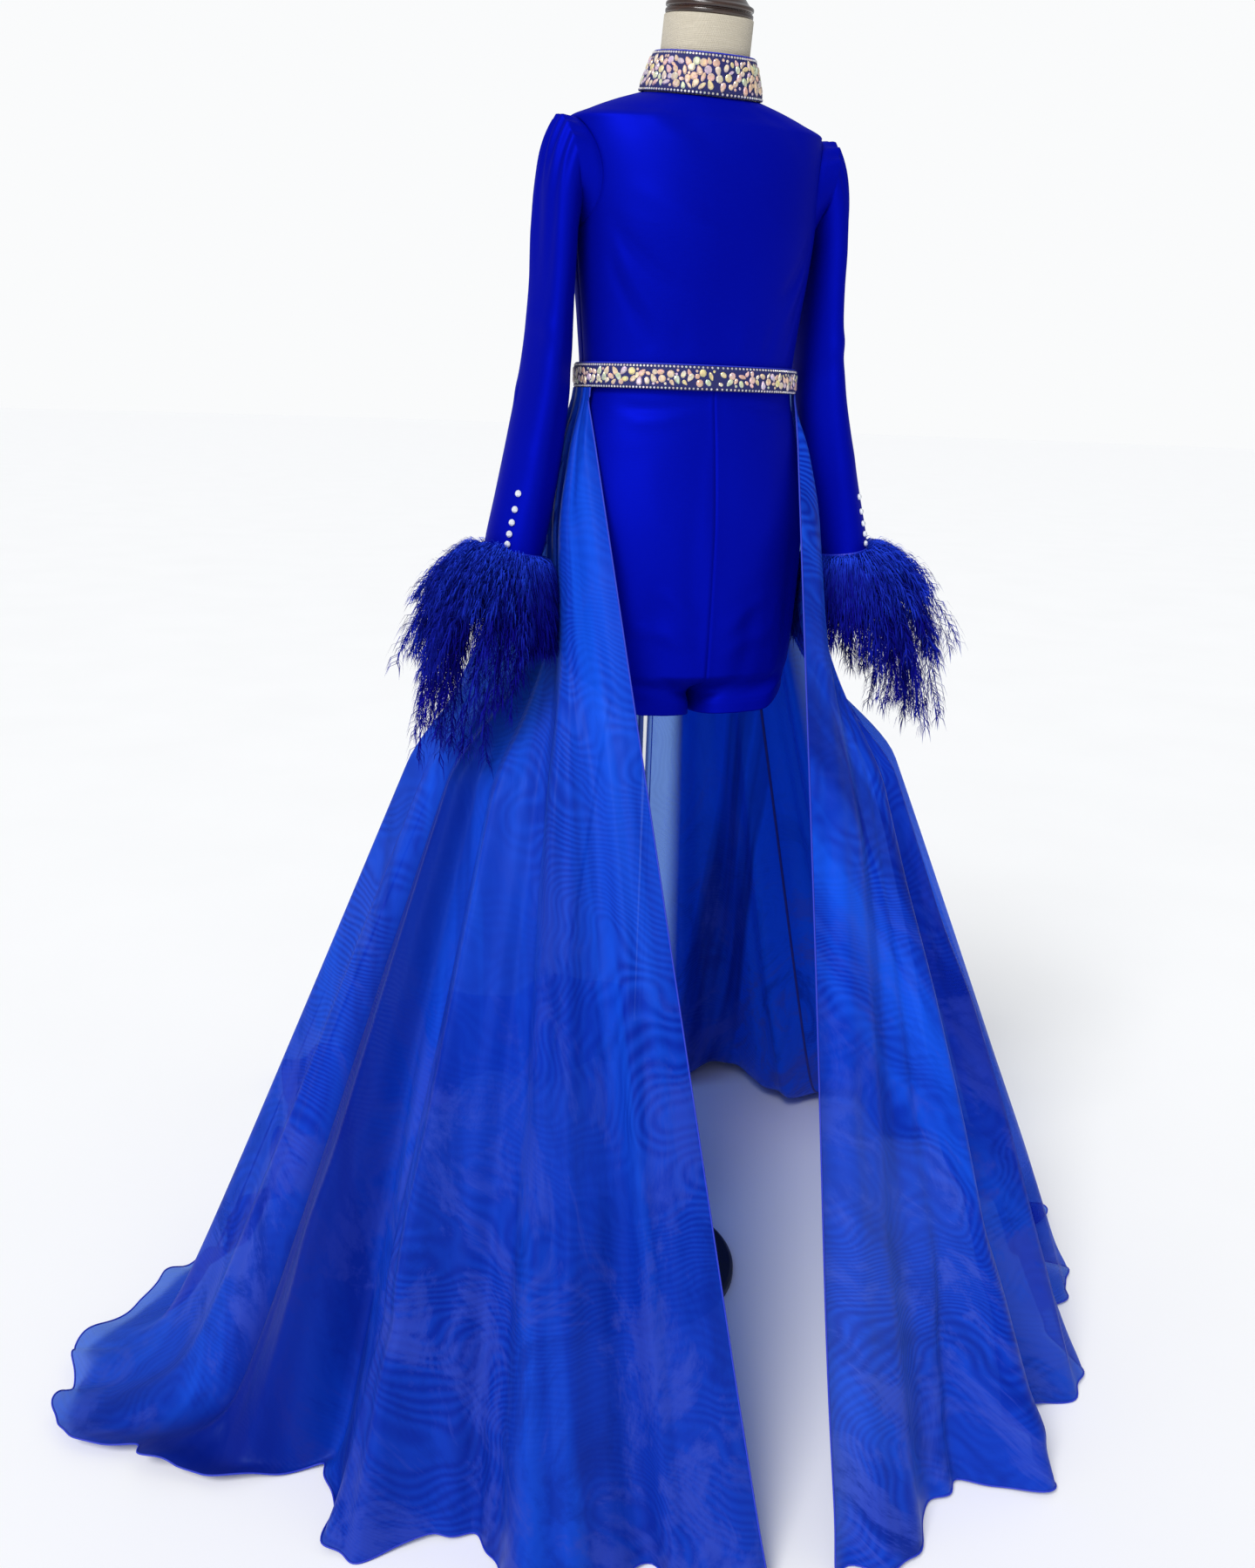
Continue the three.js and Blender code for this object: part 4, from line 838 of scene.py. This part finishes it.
def build_sleeves():
    rows = np.concatenate([np.linspace(-1, 0, 12), np.linspace(0.04, SLEEVE_END, 104)])
    turn, along = grid(np.linspace(0, 360, 121)[:-1], rows)
    inside = np.clip(along, SLEEVE_LIMITS[0], SLEEVE_END - 0.03)
    for side_name, side in SIDES:
        node = "sleeve_" + side_name
        surface = sleeve(side)
        outward = facing(surface, turn, inside, *TURN_STEPS, side)
        points = surface(turn, along) + sleeve_relief(turn, along)[..., None] * outward
        faces = quads(*turn.shape, closed=True, flip=side < 0)
        made = make(node + "_satin", points, faces, FINISH["satin"])
        lay_out(made, (np.radians(turn) * SLEEVE_RADIUS).ravel() + side, arc(points, 0).ravel(), 3 + side)
        shell(made, SATIN_THICK)
        declare(made, node, "satin")


# ---- stones --------------------------------------------------------------------------------------------
PASTELS = np.array([
    (1.0, 0.46, 0.33), (0.56, 0.88, 0.52), (0.98, 0.86, 0.22), (0.66, 0.50, 0.92), (1.0, 0.72, 0.42),
    (1.0, 0.60, 0.38), (0.95, 0.50, 0.52), (1.0, 0.88, 0.70),
])
# The stones' half widths, the large ones first, how closely they sit and how often a place is tried.
STONE_SIZES = ((5.0, 0.64, 3000), (3.9, 0.6, 4500), (2.5, 0.68, 5000), (1.5, 0.78, 6000))
STONE_CUTS, STONE_ODDS = ["pear", "oval", "round", "marquise"], [0.42, 0.25, 0.2, 0.13]
STONE_MARGIN = 3.0
CHAIN_PITCH, CHAIN_STONE, CHAIN_IN, CHAIN_PALE = 3.5, 1.75, 1.4, np.array([0.95, 0.92, 0.95])
STRIP_START, STRIP_END, PIPING_RADIUS = -89.4, 269.4, 0.9


def stone_outline(kind, sides):
    """The outline of a cut stone, 2 across at most: round, oval, pear or pointed at both ends."""
    t = np.arange(sides) * 2 * np.pi / sides
    x, y = np.cos(t), np.sin(t)
    if kind == "round":
        return x, y
    if kind == "oval":
        return x, y * 0.7
    if kind == "pear":
        return x, y * 0.62 * (1 - 0.45 * x)
    return x, signed_power(y, 1.5) * 0.5


def cut_stone(at, out, aside, size, high, kind, angle, sides=10):
    """A faceted stone on a wall: its girdle, crown and table."""
    up = np.cross(out, aside)
    x, y = stone_outline(kind, sides)
    c, s = math.cos(angle), math.sin(angle)
    rings = []
    for spread, level, twist in ((0.94, -0.25, 0), (1.0, 0.22, 0), (0.8, 0.68, 0.5), (0.5, 1.0, 0)):
        k = np.arange(sides) + twist
        px = np.interp(k, np.arange(sides + 1), np.append(x, x[0])) * spread
        py = np.interp(k, np.arange(sides + 1), np.append(y, y[0])) * spread
        flat = size * ((c * px - s * py)[:, None] * aside + (s * px + c * py)[:, None] * up)
        rings.append(at + flat + out * high * level)
    points = np.concatenate(rings)
    faces = []
    for j in range(3):
        for i in range(sides):
            n = (i + 1) % sides
            a, b = j * sides + i, j * sides + n
            faces += [[a, b, b + sides], [a, b + sides, a + sides]]
    faces.append([3 * sides + i for i in range(sides)])
    return points, faces


def set_stones(name, wall, height, length):
    """Stones of mixed cuts set closely on a wall, the large ones first."""
    places = np.empty((0, 3))
    parts, tints = [], []
    low, high = STONE_MARGIN, height - STONE_MARGIN
    for size, close, tries in STONE_SIZES:
        across = draw.uniform(2, length - 2, tries)
        up = draw.uniform(low + size * 0.75, high - size * 0.75, tries)
        for x, y in zip(across, up):
            apart = np.hypot(places[:, 0] - x, places[:, 1] - y)
            if np.all(apart > (size + places[:, 2]) * close):
                places = np.vstack([places, (x, y, size)])
    for x, y, size in places:
        at, out, aside = spot_on(wall, x / length * 360 - 90, y / height, WALL_LIMITS, -1)
        kind = draw.choice(STONE_CUTS, p=STONE_ODDS) if size > 2.5 else "round"
        if kind == "pear":
            lean = draw.choice([1.57, -1.57]) + draw.uniform(-0.8, 0.8)
        else:
            lean = draw.uniform(0, 2 * np.pi)
        grow = 1.2 if kind in ("pear", "marquise") else 1.0
        points, faces = cut_stone(at, out, aside, size * grow, 1.5 + size * 0.36, kind, lean)
        parts.append((points, faces))
        # Each stone's own pastel colour, with painted glints: another pastel and a brightness mixed in at
        # each point, as its facets flash.
        main = PASTELS[draw.integers(len(PASTELS))]
        glint = PASTELS[draw.integers(len(PASTELS), size=len(points))]
        bright = draw.uniform(0.6, 1.4, (len(points), 1))
        tints.append(np.clip(blend(main, glint, 0.4) * bright * 0.72, 0, 1))
    made = make(name, *join(parts), FINISH["stones"], smooth=False)
    paint(made, np.concatenate(tints))
    return made


def chain(name, wall, rise, height, length):
    """A row of small round stones in a wall."""
    parts, tints = [], []
    for turn in np.arange(STRIP_START, STRIP_END, 360 * CHAIN_PITCH / length):
        at, out, aside = spot_on(wall, turn, rise / height, WALL_LIMITS, -1)
        parts.append(cut_stone(at, out, aside, CHAIN_STONE, 2.3, "round", 0.3, 8))
        tint = blend(CHAIN_PALE, PASTELS[draw.integers(len(PASTELS))], draw.uniform(0, 0.5))
        tints.append(np.repeat((tint * draw.uniform(0.5, 0.85))[None], len(parts[-1][0]), 0))
    made = make(name, *join(parts), FINISH["chain"], smooth=False)
    paint(made, np.concatenate(tints))
    return made


def band(name, wall):
    """The strip of cloth that carries the stones."""
    turn, share = grid(np.linspace(-89.92, 269.92, 220), np.linspace(0, 1, 9))
    off = 0.3 - 0.8 * np.abs(share * 2 - 1) ** 6
    outward = facing(wall, turn, np.clip(share, *WALL_LIMITS), *TURN_STEPS, -1)
    points = wall(turn, share) + off[..., None] * outward
    made = make(name, points, quads(*turn.shape), FINISH["band"])
    lay_out(made, arc(points, 1).ravel(), arc(points, 0).ravel(), 0)
    shell(made, STRIP_THICK)
    return made


def build_jewelled(node, wall, height, length):
    ground = band(node + "_band", wall)
    stones = set_stones(node + "_stones", wall, height, length)
    chains = [
        chain(node + "_chain_low", wall, CHAIN_IN, height, length),
        chain(node + "_chain_high", wall, height - CHAIN_IN, height, length),
    ]
    edge = wall(np.linspace(STRIP_START, STRIP_END, 200), np.full(200, 1.0)) + 0.7 * UPRIGHT
    piping = make(node + "_piping", *tube(edge, PIPING_RADIUS), FINISH["piping"])
    for piece in (stones, *chains):
        settle(piece, "beading")
    settle(piping, "satin")
    declare(ground, node, "beading")


# ---- feather cuffs -------------------------------------------------------------------------------------
# Rings of strands: place along the sleeve, length, slopes in degrees, how many, barb length, how pale.
FEATHER_RINGS = (
    (8.42, 56, (4, -16, -50), 90, 19, 0.75),
    (8.5, 104, (-4, -32, -62), 110, 24, 0.35),
    (8.64, 160, (-24, -54, -74), 110, 27, 0.12),
    (8.82, 225, (-46, -72, -84), 100, 27, 0.03),
)
FEATHER_DARK, FEATHER_BRIGHT = np.array([0.004, 0.003, 0.2]), np.array([0.02, 0.075, 0.8])
STRAND_STEPS, QUILL_RADIUS, BARB_HALF_WIDTH = 8, 0.42, 0.5


def strand_line(side, along, turn, length, slopes):
    """A strand leaves the sleeve, drifts away from the body and droops."""
    at, out, _ = spot_on(sleeve(side), turn, along, SLEEVE_LIMITS, side)
    away = np.array([0.86 * side, -0.35 if side > 0 else -0.42])
    toward = max(0.0, float(out[:2] @ away))
    length = length * blend(0.4, 1, toward) * draw.uniform(0.72, 1.06)
    line = [at + out * 1.2]
    shares = np.linspace(0, 1, STRAND_STEPS)
    slopes = np.interp(shares, np.linspace(0, 1, len(slopes)), slopes)
    drift = np.interp(shares, (0, 0.4, 1), (0.15, 0.45, 0.6))
    sway, lift = draw.normal(0, 0.22), draw.normal(0, 7)
    for slope, turn_away in zip(slopes, drift):
        rise = math.radians(blend(min(slope, -72), slope + lift, toward))
        flat = blend(out[:2], away, turn_away)
        flat = unit(flat + sway * np.array([-flat[1], flat[0]]) * turn_away)
        step = np.array([*(flat * math.cos(rise)), math.sin(rise)])
        line.append(line[-1] + length / STRAND_STEPS * step)
    return np.array(line)


def barbs(line, reach, count):
    """Fine drooping barbs along a strand: for each, a narrow three-sided sliver bent once."""
    along = np.linspace(0.04, 1, count)
    at = np.arange(len(line)) / (len(line) - 1)
    root = np.stack([np.interp(along, at, line[:, k]) for k in range(3)], -1)
    ahead = unit(np.stack([np.interp(along, at, np.gradient(line[:, k])) for k in range(3)], -1))
    aside = unit(np.cross(ahead, draw.normal(0, 1, (count, 3))))
    size = reach * draw.uniform(0.45, 1.1, (count, 1)) * (1 - 0.35 * along[:, None])
    bend = root + size * (0.5 * aside + 0.35 * ahead)
    tip = bend + size * (0.2 * aside + 0.45 * ahead + np.array([0, 0, -0.32]))
    width = BARB_HALF_WIDTH * unit(np.cross(ahead, aside))
    points = np.stack([root - width, root + width, bend + width, bend - width, tip], 1)
    faces = []
    for k in range(count):
        a = 5 * k
        faces += [[a, a + 1, a + 2, a + 3], [a + 3, a + 2, a + 4]]
    return points.reshape(-1, 3), faces


def build_cuff(node, side):
    parts, tints = [], []
    for along, length, slopes, count, reach, pale in FEATHER_RINGS:
        for number in range(count):
            turn = (number + draw.uniform(-0.4, 0.4)) * 360 / count
            line = strand_line(side, along, turn, length, slopes)
            quill = tube(line, QUILL_RADIUS, 3)
            fringe = barbs(line, reach, int(54 + length * 0.42))
            share = np.clip(pale + draw.normal(0, 0.07), 0, 1)
            shade = blend(FEATHER_DARK, FEATHER_BRIGHT, share)
            for part, lighter in ((quill, 0.8), (fringe, 1.15)):
                parts.append(part)
                tints.append(np.repeat((shade * lighter)[None], len(part[0]), 0))
    feathers = make(node + "_feathers", *join(parts), FINISH["feather"], smooth=False)
    paint(feathers, np.concatenate(tints))
    turn, along = grid(np.linspace(0, 360, 97)[:-1], np.linspace(8.42, 8.86, 5))
    surface = sleeve(side)
    points = surface(turn, along) + 1.4 * facing(surface, turn, along, *TURN_STEPS, side)
    faces = quads(*turn.shape, closed=True, flip=side < 0)
    strip = make(node + "_strip", points, faces, FINISH["piping"])
    shell(strip, CUFF_STRIP_THICK)
    settle(feathers, "feather", node)
    settle(strip, "feather")


# ---- overskirt -----------------------------------------------------------------------------------------
def hem_outward(turn):
    """The level direction from the body's middle line to the hem."""
    return unit(hem_place(turn) - CENTRE)


def hem_curl(turn, share, points):
    """The rolled hem's small waves, which grow over the last stretch of cloth."""
    waves, train = look_up(SKIRT, "turn", turn, "waves train")
    down = (1 - share) * (SKIRT_TOP + train)
    near = np.exp(-((down / 34) ** 2))
    wide = np.exp(-((down / 120) ** 2))
    flutter = np.sin(2 * np.pi * waves * 2.3 + 1.6 * np.sin(waves * 2.1))
    flutter = flutter * (0.55 + 0.45 * np.sin(waves * 2.9 + 0.5))
    swing = np.sin(2 * np.pi * waves * 0.83 + 1.4)
    lying = ease(train, 0, 60)
    shift = (7.5 * near * flutter + 9 * wide * swing) * calm(turn)
    lift = np.maximum(0, 1 + flutter) * near * blend(5, 9, lying) + np.maximum(0, swing) * wide * 7 * lying
    moved = points.copy()
    moved[..., :2] += hem_outward(turn) * (shift * (1 - 0.55 * lying))[..., None]
    moved[..., 2] = np.maximum(moved[..., 2] + lift, 0.8)
    return moved


# Creases of the overskirt, in millimetres from the free front edge as measured along the hem, and down
# from the waist. Those of one side differ from those of the other.
RIGHT_CREASES = (
    (70, 720, 190, 960, 26, 7, 24), (250, 640, 150, 900, 28, -6, -20),
    (380, 730, 250, 1010, 22, 6, 16), (110, 960, 330, 1020, 20, 6, 12),
    (270, 880, 460, 950, 22, -6, 18), (470, 600, 390, 900, 30, 8, 22),
    (90, 430, 140, 700, 28, -5, 10), (600, 760, 520, 1060, 24, 6, -16),
    (760, 820, 640, 1120, 22, -6, 14), (900, 700, 820, 1180, 30, 7, -18),
    (1060, 620, 1010, 1150, 34, -7, 16), (1260, 560, 1230, 1120, 30, 6, -10),
    (1420, 640, 1380, 1160, 28, -6, 12), (180, 300, 240, 560, 30, 4, -12),
    (330, 420, 300, 690, 26, -4, 10),
)
LEFT_CREASES = (
    (60, 640, 150, 940, 24, -6, -18), (210, 700, 120, 980, 26, 7, 20),
    (330, 620, 240, 930, 28, -7, 16), (160, 990, 360, 1060, 20, 6, -12),
    (430, 860, 300, 1040, 22, 6, 14), (500, 560, 450, 900, 30, 7, -20),
    (110, 380, 130, 640, 28, 5, 8), (640, 780, 560, 1080, 24, -6, 16),
    (800, 700, 760, 1120, 28, 7, -14), (980, 600, 950, 1150, 32, -7, 18),
    (1160, 680, 1120, 1180, 28, 6, 10), (1350, 560, 1330, 1140, 34, -6, -16),
    (1540, 620, 1520, 1180, 30, 6, 12), (240, 320, 270, 600, 30, -4, 10),
    (380, 440, 350, 700, 26, 4, -10),
)


def organza(turn, share):
    points = hem_curl(turn, share, skirt(turn, share))
    down = share * SKIRT_TOP
    right = creased((turn - SKIRT_START) * 22, down, RIGHT_CREASES) * (1 - ease(turn, 238, 250))
    left = creased((SKIRT_FINISH - turn) * 20.7, down, LEFT_CREASES) * ease(turn, 290, 302)
    lift = (right + left) * calm(turn) * ease(points[..., 2], 4, 60)
    points[..., :2] += hem_outward(turn) * lift[..., None]
    return points


# How densely the cloth lies: 1 lets no light through. From about 0.92 up the cloth is also painted brighter,
# a painted glow.
COVER = table(
    "turn cover",
    (163, 0.88), (178, 0.88), (187, 0.97), (193, 0.97), (199, 0.72), (207, 0.6), (240, 0.5),
    (284, 0.5), (288.5, 1.06), (316, 1.06), (327, 0.66), (345, 0.42), (360, 0.55), (372, 0.78),
    (387, 0.84),
)


# How much darker the cloth lies where it is folded away from the light.
SHADE = table(
    "turn shade",
    (163, 0.3), (183, 0.3), (188, 1.0), (192.5, 1.0), (196.5, 0.12), (215, 0.1), (240, 0),
    (320, 0.15), (330, 0), (350, 0), (366, 0.25), (371, 0), (387, 0.1),
)


# The overskirt's panels: where each starts and ends round the waist, and which of its edges is free.
PANELS = (
    ("side_right", SKIRT_START, 234, "start"), ("back_right", 234, 270, None),
    ("back_left", 270, 306, None), ("side_left", 306, SKIRT_FINISH, "end"),
)
PANEL_GAP, EDGE_POINTS, HEM_RADIUS, SEAM_RADIUS, SEAM_FLAT = 0.05, 240, 1.0, 2.6, 0.35


def build_overskirt():
    rows = np.concatenate([np.linspace(0, 0.9, 100), np.linspace(0.903, 1, 40)])
    down = np.linspace(0, 1, EDGE_POINTS)
    for number, (panel, start, end, free) in enumerate(PANELS):
        node = "overskirt_" + panel
        low, high = start + PANEL_GAP, end - PANEL_GAP
        waves = np.ptp(read(SKIRT, "turn", "waves", np.array([start, end], float)))
        turn, share = grid(np.linspace(low, high, int(waves * 30)), rows)
        points = organza(turn, share)
        made = make(node + "_organza", points, quads(*turn.shape), FINISH["organza"])
        across = arc(points, 1)[-1][None, :] * (0.3 + 0.7 * share)
        lay_out(made, across.ravel() + number * 3.1, arc(points, 0).ravel(), number)
        note(made, "cover", "FLOAT", "value", read(COVER, "turn", "cover", turn))
        note(made, "shade", "FLOAT", "value", read(SHADE, "turn", "shade", turn) * ease(share, 0.15, 0.4))
        hem_turns = np.linspace(low, high, int(waves * 60))
        lines = [organza(hem_turns, np.ones_like(hem_turns))]
        if free:
            lines.append(organza(np.full(EDGE_POINTS, low if free == "start" else high), down))
        hem = make(node + "_hem", *join([tube(line, HEM_RADIUS, 5) for line in lines]), FINISH["hem"])
        pieces = [hem]
        if free != "end":
            seam = tube(organza(np.full(EDGE_POINTS, float(end)), down), SEAM_RADIUS, 6, SEAM_FLAT)
            pieces.append(make(node + "_seam", *seam, FINISH["seam"]))
        for piece in pieces:
            settle(piece, "organza")
        declare(made, node, "organza")


# ---- buttons, form and stand ---------------------------------------------------------------------------
BUTTON_TURN, BUTTON_PLACES = 58.0, (6.9, 7.23, 7.55, 7.87, 8.2)
FORM_SIDES = 96
# Rings of the form's foot and neck: height or distance along the neck, and half widths.
FORM_FOOT = ((797, 60, 42), (797, 92, 66), (803, 108, 78), (816, 120, 88))
NECK = (
    (7, 51, 49), (11, 48.2, 46.9), (15, 46, 45.5), (21, 44.6, 44.8), (28, 43.8, 44.5), (70, 43.3, 44),
    (71, 42.6, 43.3),
)
# Turned profiles, as radius and height. AXIS is a radius that closes an end.
AXIS = 0.01
CAP_RISE = 71.3
CAP = (
    (AXIS, 0), (43.7, 0), (43.7, 4), (41.4, 5.2), (43.7, 6.4), (43.7, 10), (39, 12), (29, 24), (14, 30.4),
    (AXIS, 32),
)
BASE = ((AXIS, 0), (142, 0), (142, 9), (138, 12), (34, 12), (34, 26), (AXIS, 26))
TUBE = ((AXIS, 26.3), (19, 26.3), (19, 299.7), (AXIS, 299.7))
ROD = ((AXIS, 350.3), (11, 350.3), (11, 796.7), (AXIS, 796.7))
HUB = ((AXIS, 300), (22, 300), (24, 304), (24, 340), (16, 350), (AXIS, 350))
KNOB = ((AXIS, 18), (5, 18), (5, 36), (15, 39), (15, 50), (10, 54), (AXIS, 54))
KNOB_HEIGHT, KNOB_HEADING = 325, math.radians(-150)


def build_buttons():
    for side_name, side in SIDES:
        for k, along in enumerate(BUTTON_PLACES):
            at, out, aside = spot_on(sleeve(side), BUTTON_TURN, along, SLEEVE_LIMITS, side)
            gem = cut_stone(at + out * 1.2, out, aside, 3.5, 2.4, "round", 0.2 * k, 12)
            made = make(f"button_gem_{side_name}_{k + 1}", *gem, FINISH["chain"], smooth=False)
            # A pale bluish colour of their own, brighter and darker from point to point: painted glints of
            # the facets.
            paint(made, draw.uniform(0.75, 1.0, (len(gem[0]), 1)) * np.array([0.88, 0.92, 1.0]))
            settle(made, "rhinestone", f"button_{side_name}_{k + 1}")


def form_inset(height):
    """The form lies inside the cloth, and deeper at the armholes."""
    at_armhole = ease(height, 1222, 1250) * (1 - ease(height, 1354, 1374))
    return -(2.4 + 6 * at_armhole + 1.2 * (1 - ease(height, 1040, WAIST)))


def build_form():
    turns = np.arange(FORM_SIDES) * 360 / FORM_SIDES
    rings = []
    for height, wide, deep in FORM_FOOT:
        x, y = ring(turns, wide, deep)
        rings.append(np.stack([CENTRE[0] + x, CENTRE[1] + y, np.full_like(x, height)], -1))
    for height in np.concatenate([np.linspace(840, 1330, 60), np.linspace(1336, NECK_EDGE, 14)]):
        level = np.full_like(turns, height)
        rings.append(torso_off(turns, level, form_inset(level)))
    for along, wide, deep in NECK:
        rings.append(neck_spot(*ring(turns, wide, deep), along))
    faces = tube_faces(len(rings), FORM_SIDES, flip=True)
    body = make("form_linen_body", np.concatenate(rings), faces, FINISH["linen"])
    settle(body, "form_linen", "form_torso")
    points, faces = lathe(rounded(CAP, 1.5), 64)
    tip = np.array(Matrix.Rotation(math.atan(NECK_TILT), 3, "X"))
    cap = make("form_wood_cap", points @ tip.T + neck_spot(0, 0, CAP_RISE), faces, FINISH["wood"])
    settle(cap, "cap_wood", "form_neck_cap")


def build_stand():
    for node, profile, segments, finish, slot in (
        ("stand_base", BASE, 96, "stand", "stand_metal"),
        ("stand_tube", TUBE, 48, "stand", "stand_metal"),
        ("stand_rod", ROD, 48, "chrome", "rod_chrome"),
    ):
        made = make(node + "_turned", *lathe(rounded(profile, 1.0), segments), FINISH[finish])
        settle(made, slot, node)
    hub = lathe(rounded(HUB, 1.2), 48)
    knob, knob_faces = lathe(rounded(KNOB, 1.0), 40)
    grip = np.hypot(knob[:, 0], knob[:, 1]) > 13
    scallop = 1 - 0.07 * grip * (0.5 + 0.5 * np.cos(8 * np.arctan2(knob[:, 1], knob[:, 0])))
    knob[:, :2] *= scallop[:, None]
    lay = Matrix.Rotation(KNOB_HEADING, 3, "Z") @ Matrix.Rotation(math.radians(90), 3, "Y")
    knob = knob @ np.array(lay).T + KNOB_HEIGHT * UPRIGHT
    made = make("stand_hub_clamp", *join([hub, (knob, knob_faces)]), FINISH["stand"])
    settle(made, "stand_metal", "stand_hub")


# ---- room, light and camera ----------------------------------------------------------------------------
# The floor's reach in millimetres, and each sun's strength, softness in degrees and direction.
FLOOR_REACH, FLOOR_DEEP = 60000, 3
SUNS = (("window", 2.35, 24, (1.45, 1.35, -2.15)), ("low_window", 0.75, 45, (1.5, 2.1, -1.0)))
# The camera's heading, pitch and roll in degrees, its place in metres and its lens in millimetres.
VIEW, EYE, LENS, SENSOR = (-19.4, 15.8, 1.9), (-0.526, -1.445, 1.088), 31.117, 36


def build_room():
    s = Shader("pale_floor")
    soft = s.noise(s.place(), 2.5, 3)
    colour = s.mix(rgba(0.94, 0.94, 0.94), rgba(0.97, 0.97, 0.97), soft)
    finish = s.finish(Base_Color=colour, Roughness=0.7 + soft * 0.15, Specular_IOR_Level=0.1)
    slab = ((AXIS, -FLOOR_DEEP), (FLOOR_REACH, -FLOOR_DEEP), (FLOOR_REACH, 0), (AXIS, 0))
    floor = make("floor", *lathe(slab, 128), finish, smooth=False)
    floor.location.z = -0.0005
    world = bpy.data.worlds.new("studio")
    bpy.context.scene.world = world
    world.use_nodes = True
    nodes, links = world.node_tree.nodes, world.node_tree.links
    room = nodes["Background"]
    room.inputs["Color"].default_value = rgba(0.93, 0.96, 1.0)
    room.inputs["Strength"].default_value = 0.41
    backdrop = nodes.new("ShaderNodeBackground")
    backdrop.inputs["Color"].default_value = rgba(0.957, 0.965, 0.972)
    seen, either = nodes.new("ShaderNodeLightPath"), nodes.new("ShaderNodeMixShader")
    links.new(seen.outputs["Is Camera Ray"], either.inputs[0])
    links.new(room.outputs[0], either.inputs[1])
    links.new(backdrop.outputs[0], either.inputs[2])
    links.new(either.outputs[0], nodes["World Output"].inputs["Surface"])
    for name, energy, soft_angle, direction in SUNS:
        sun = bpy.data.lights.new(name, "SUN")
        sun.energy, sun.angle = energy, math.radians(soft_angle)
        lamp = bpy.data.objects.new(name, sun)
        bpy.context.scene.collection.objects.link(lamp)
        lamp.rotation_euler = Vector(direction).to_track_quat("-Z", "Y").to_euler()


def place_camera():
    """A standing viewer's view, from the front and a little to the wearer's right."""
    heading, pitch, roll = (math.radians(angle) for angle in VIEW)
    ahead = Vector((-math.sin(heading), math.cos(heading), 0))
    forward = ahead * math.cos(pitch) - Vector((0, 0, math.sin(pitch)))
    level = Vector((math.cos(heading), math.sin(heading), 0))
    upright = level.cross(forward)
    right = level * math.cos(roll) + upright * math.sin(roll)
    up = upright * math.cos(roll) - level * math.sin(roll)
    turned = Matrix((right, up, -forward)).transposed().to_4x4()
    turned.translation = Vector(EYE)
    data = bpy.data.cameras.new("camera")
    data.lens, data.sensor_width, data.clip_start, data.clip_end = LENS, SENSOR, 0.05, 200
    camera = bpy.data.objects.new("camera", data)
    bpy.context.scene.collection.objects.link(camera)
    camera.matrix_world = turned
    bpy.context.scene.camera = camera


FINISH = {
    "satin": satin_finish(),
    "organza": organza_finish(),
    "hem": thread_finish("rolled_hem_thread", (0.004, 0.012, 0.30), (0.01, 0.04, 0.6)),
    "seam": thread_finish("seam_allowance", (0.002, 0.004, 0.12), (0.004, 0.014, 0.28)),
    "piping": thread_finish("blue_piping", (0.002, 0.008, 0.35), (0.004, 0.02, 0.6)),
    "band": band_finish(),
    "stones": stone_finish(),
    "chain": chain_finish(),
    "feather": feather_finish(),
    "linen": linen_finish(),
    "wood": wood_finish(),
    "chrome": chrome_finish(),
    "stand": stand_finish(),
}

place_camera()
build_bodice()
build_shorts()
build_sleeves()
build_jewelled("collar", collar_wall, COLLAR_HIGH, COLLAR_LONG)
build_jewelled("belt", belt_wall, BELT_HIGH, BELT_LONG)
for cuff_name, cuff_side in SIDES:
    build_cuff("feather_cuff_" + cuff_name, cuff_side)
build_overskirt()
build_buttons()
build_form()
build_stand()
build_room()

scene = bpy.context.scene
scene.view_settings.view_transform = "Standard"
scene.cycles.transparent_max_bounces = 32
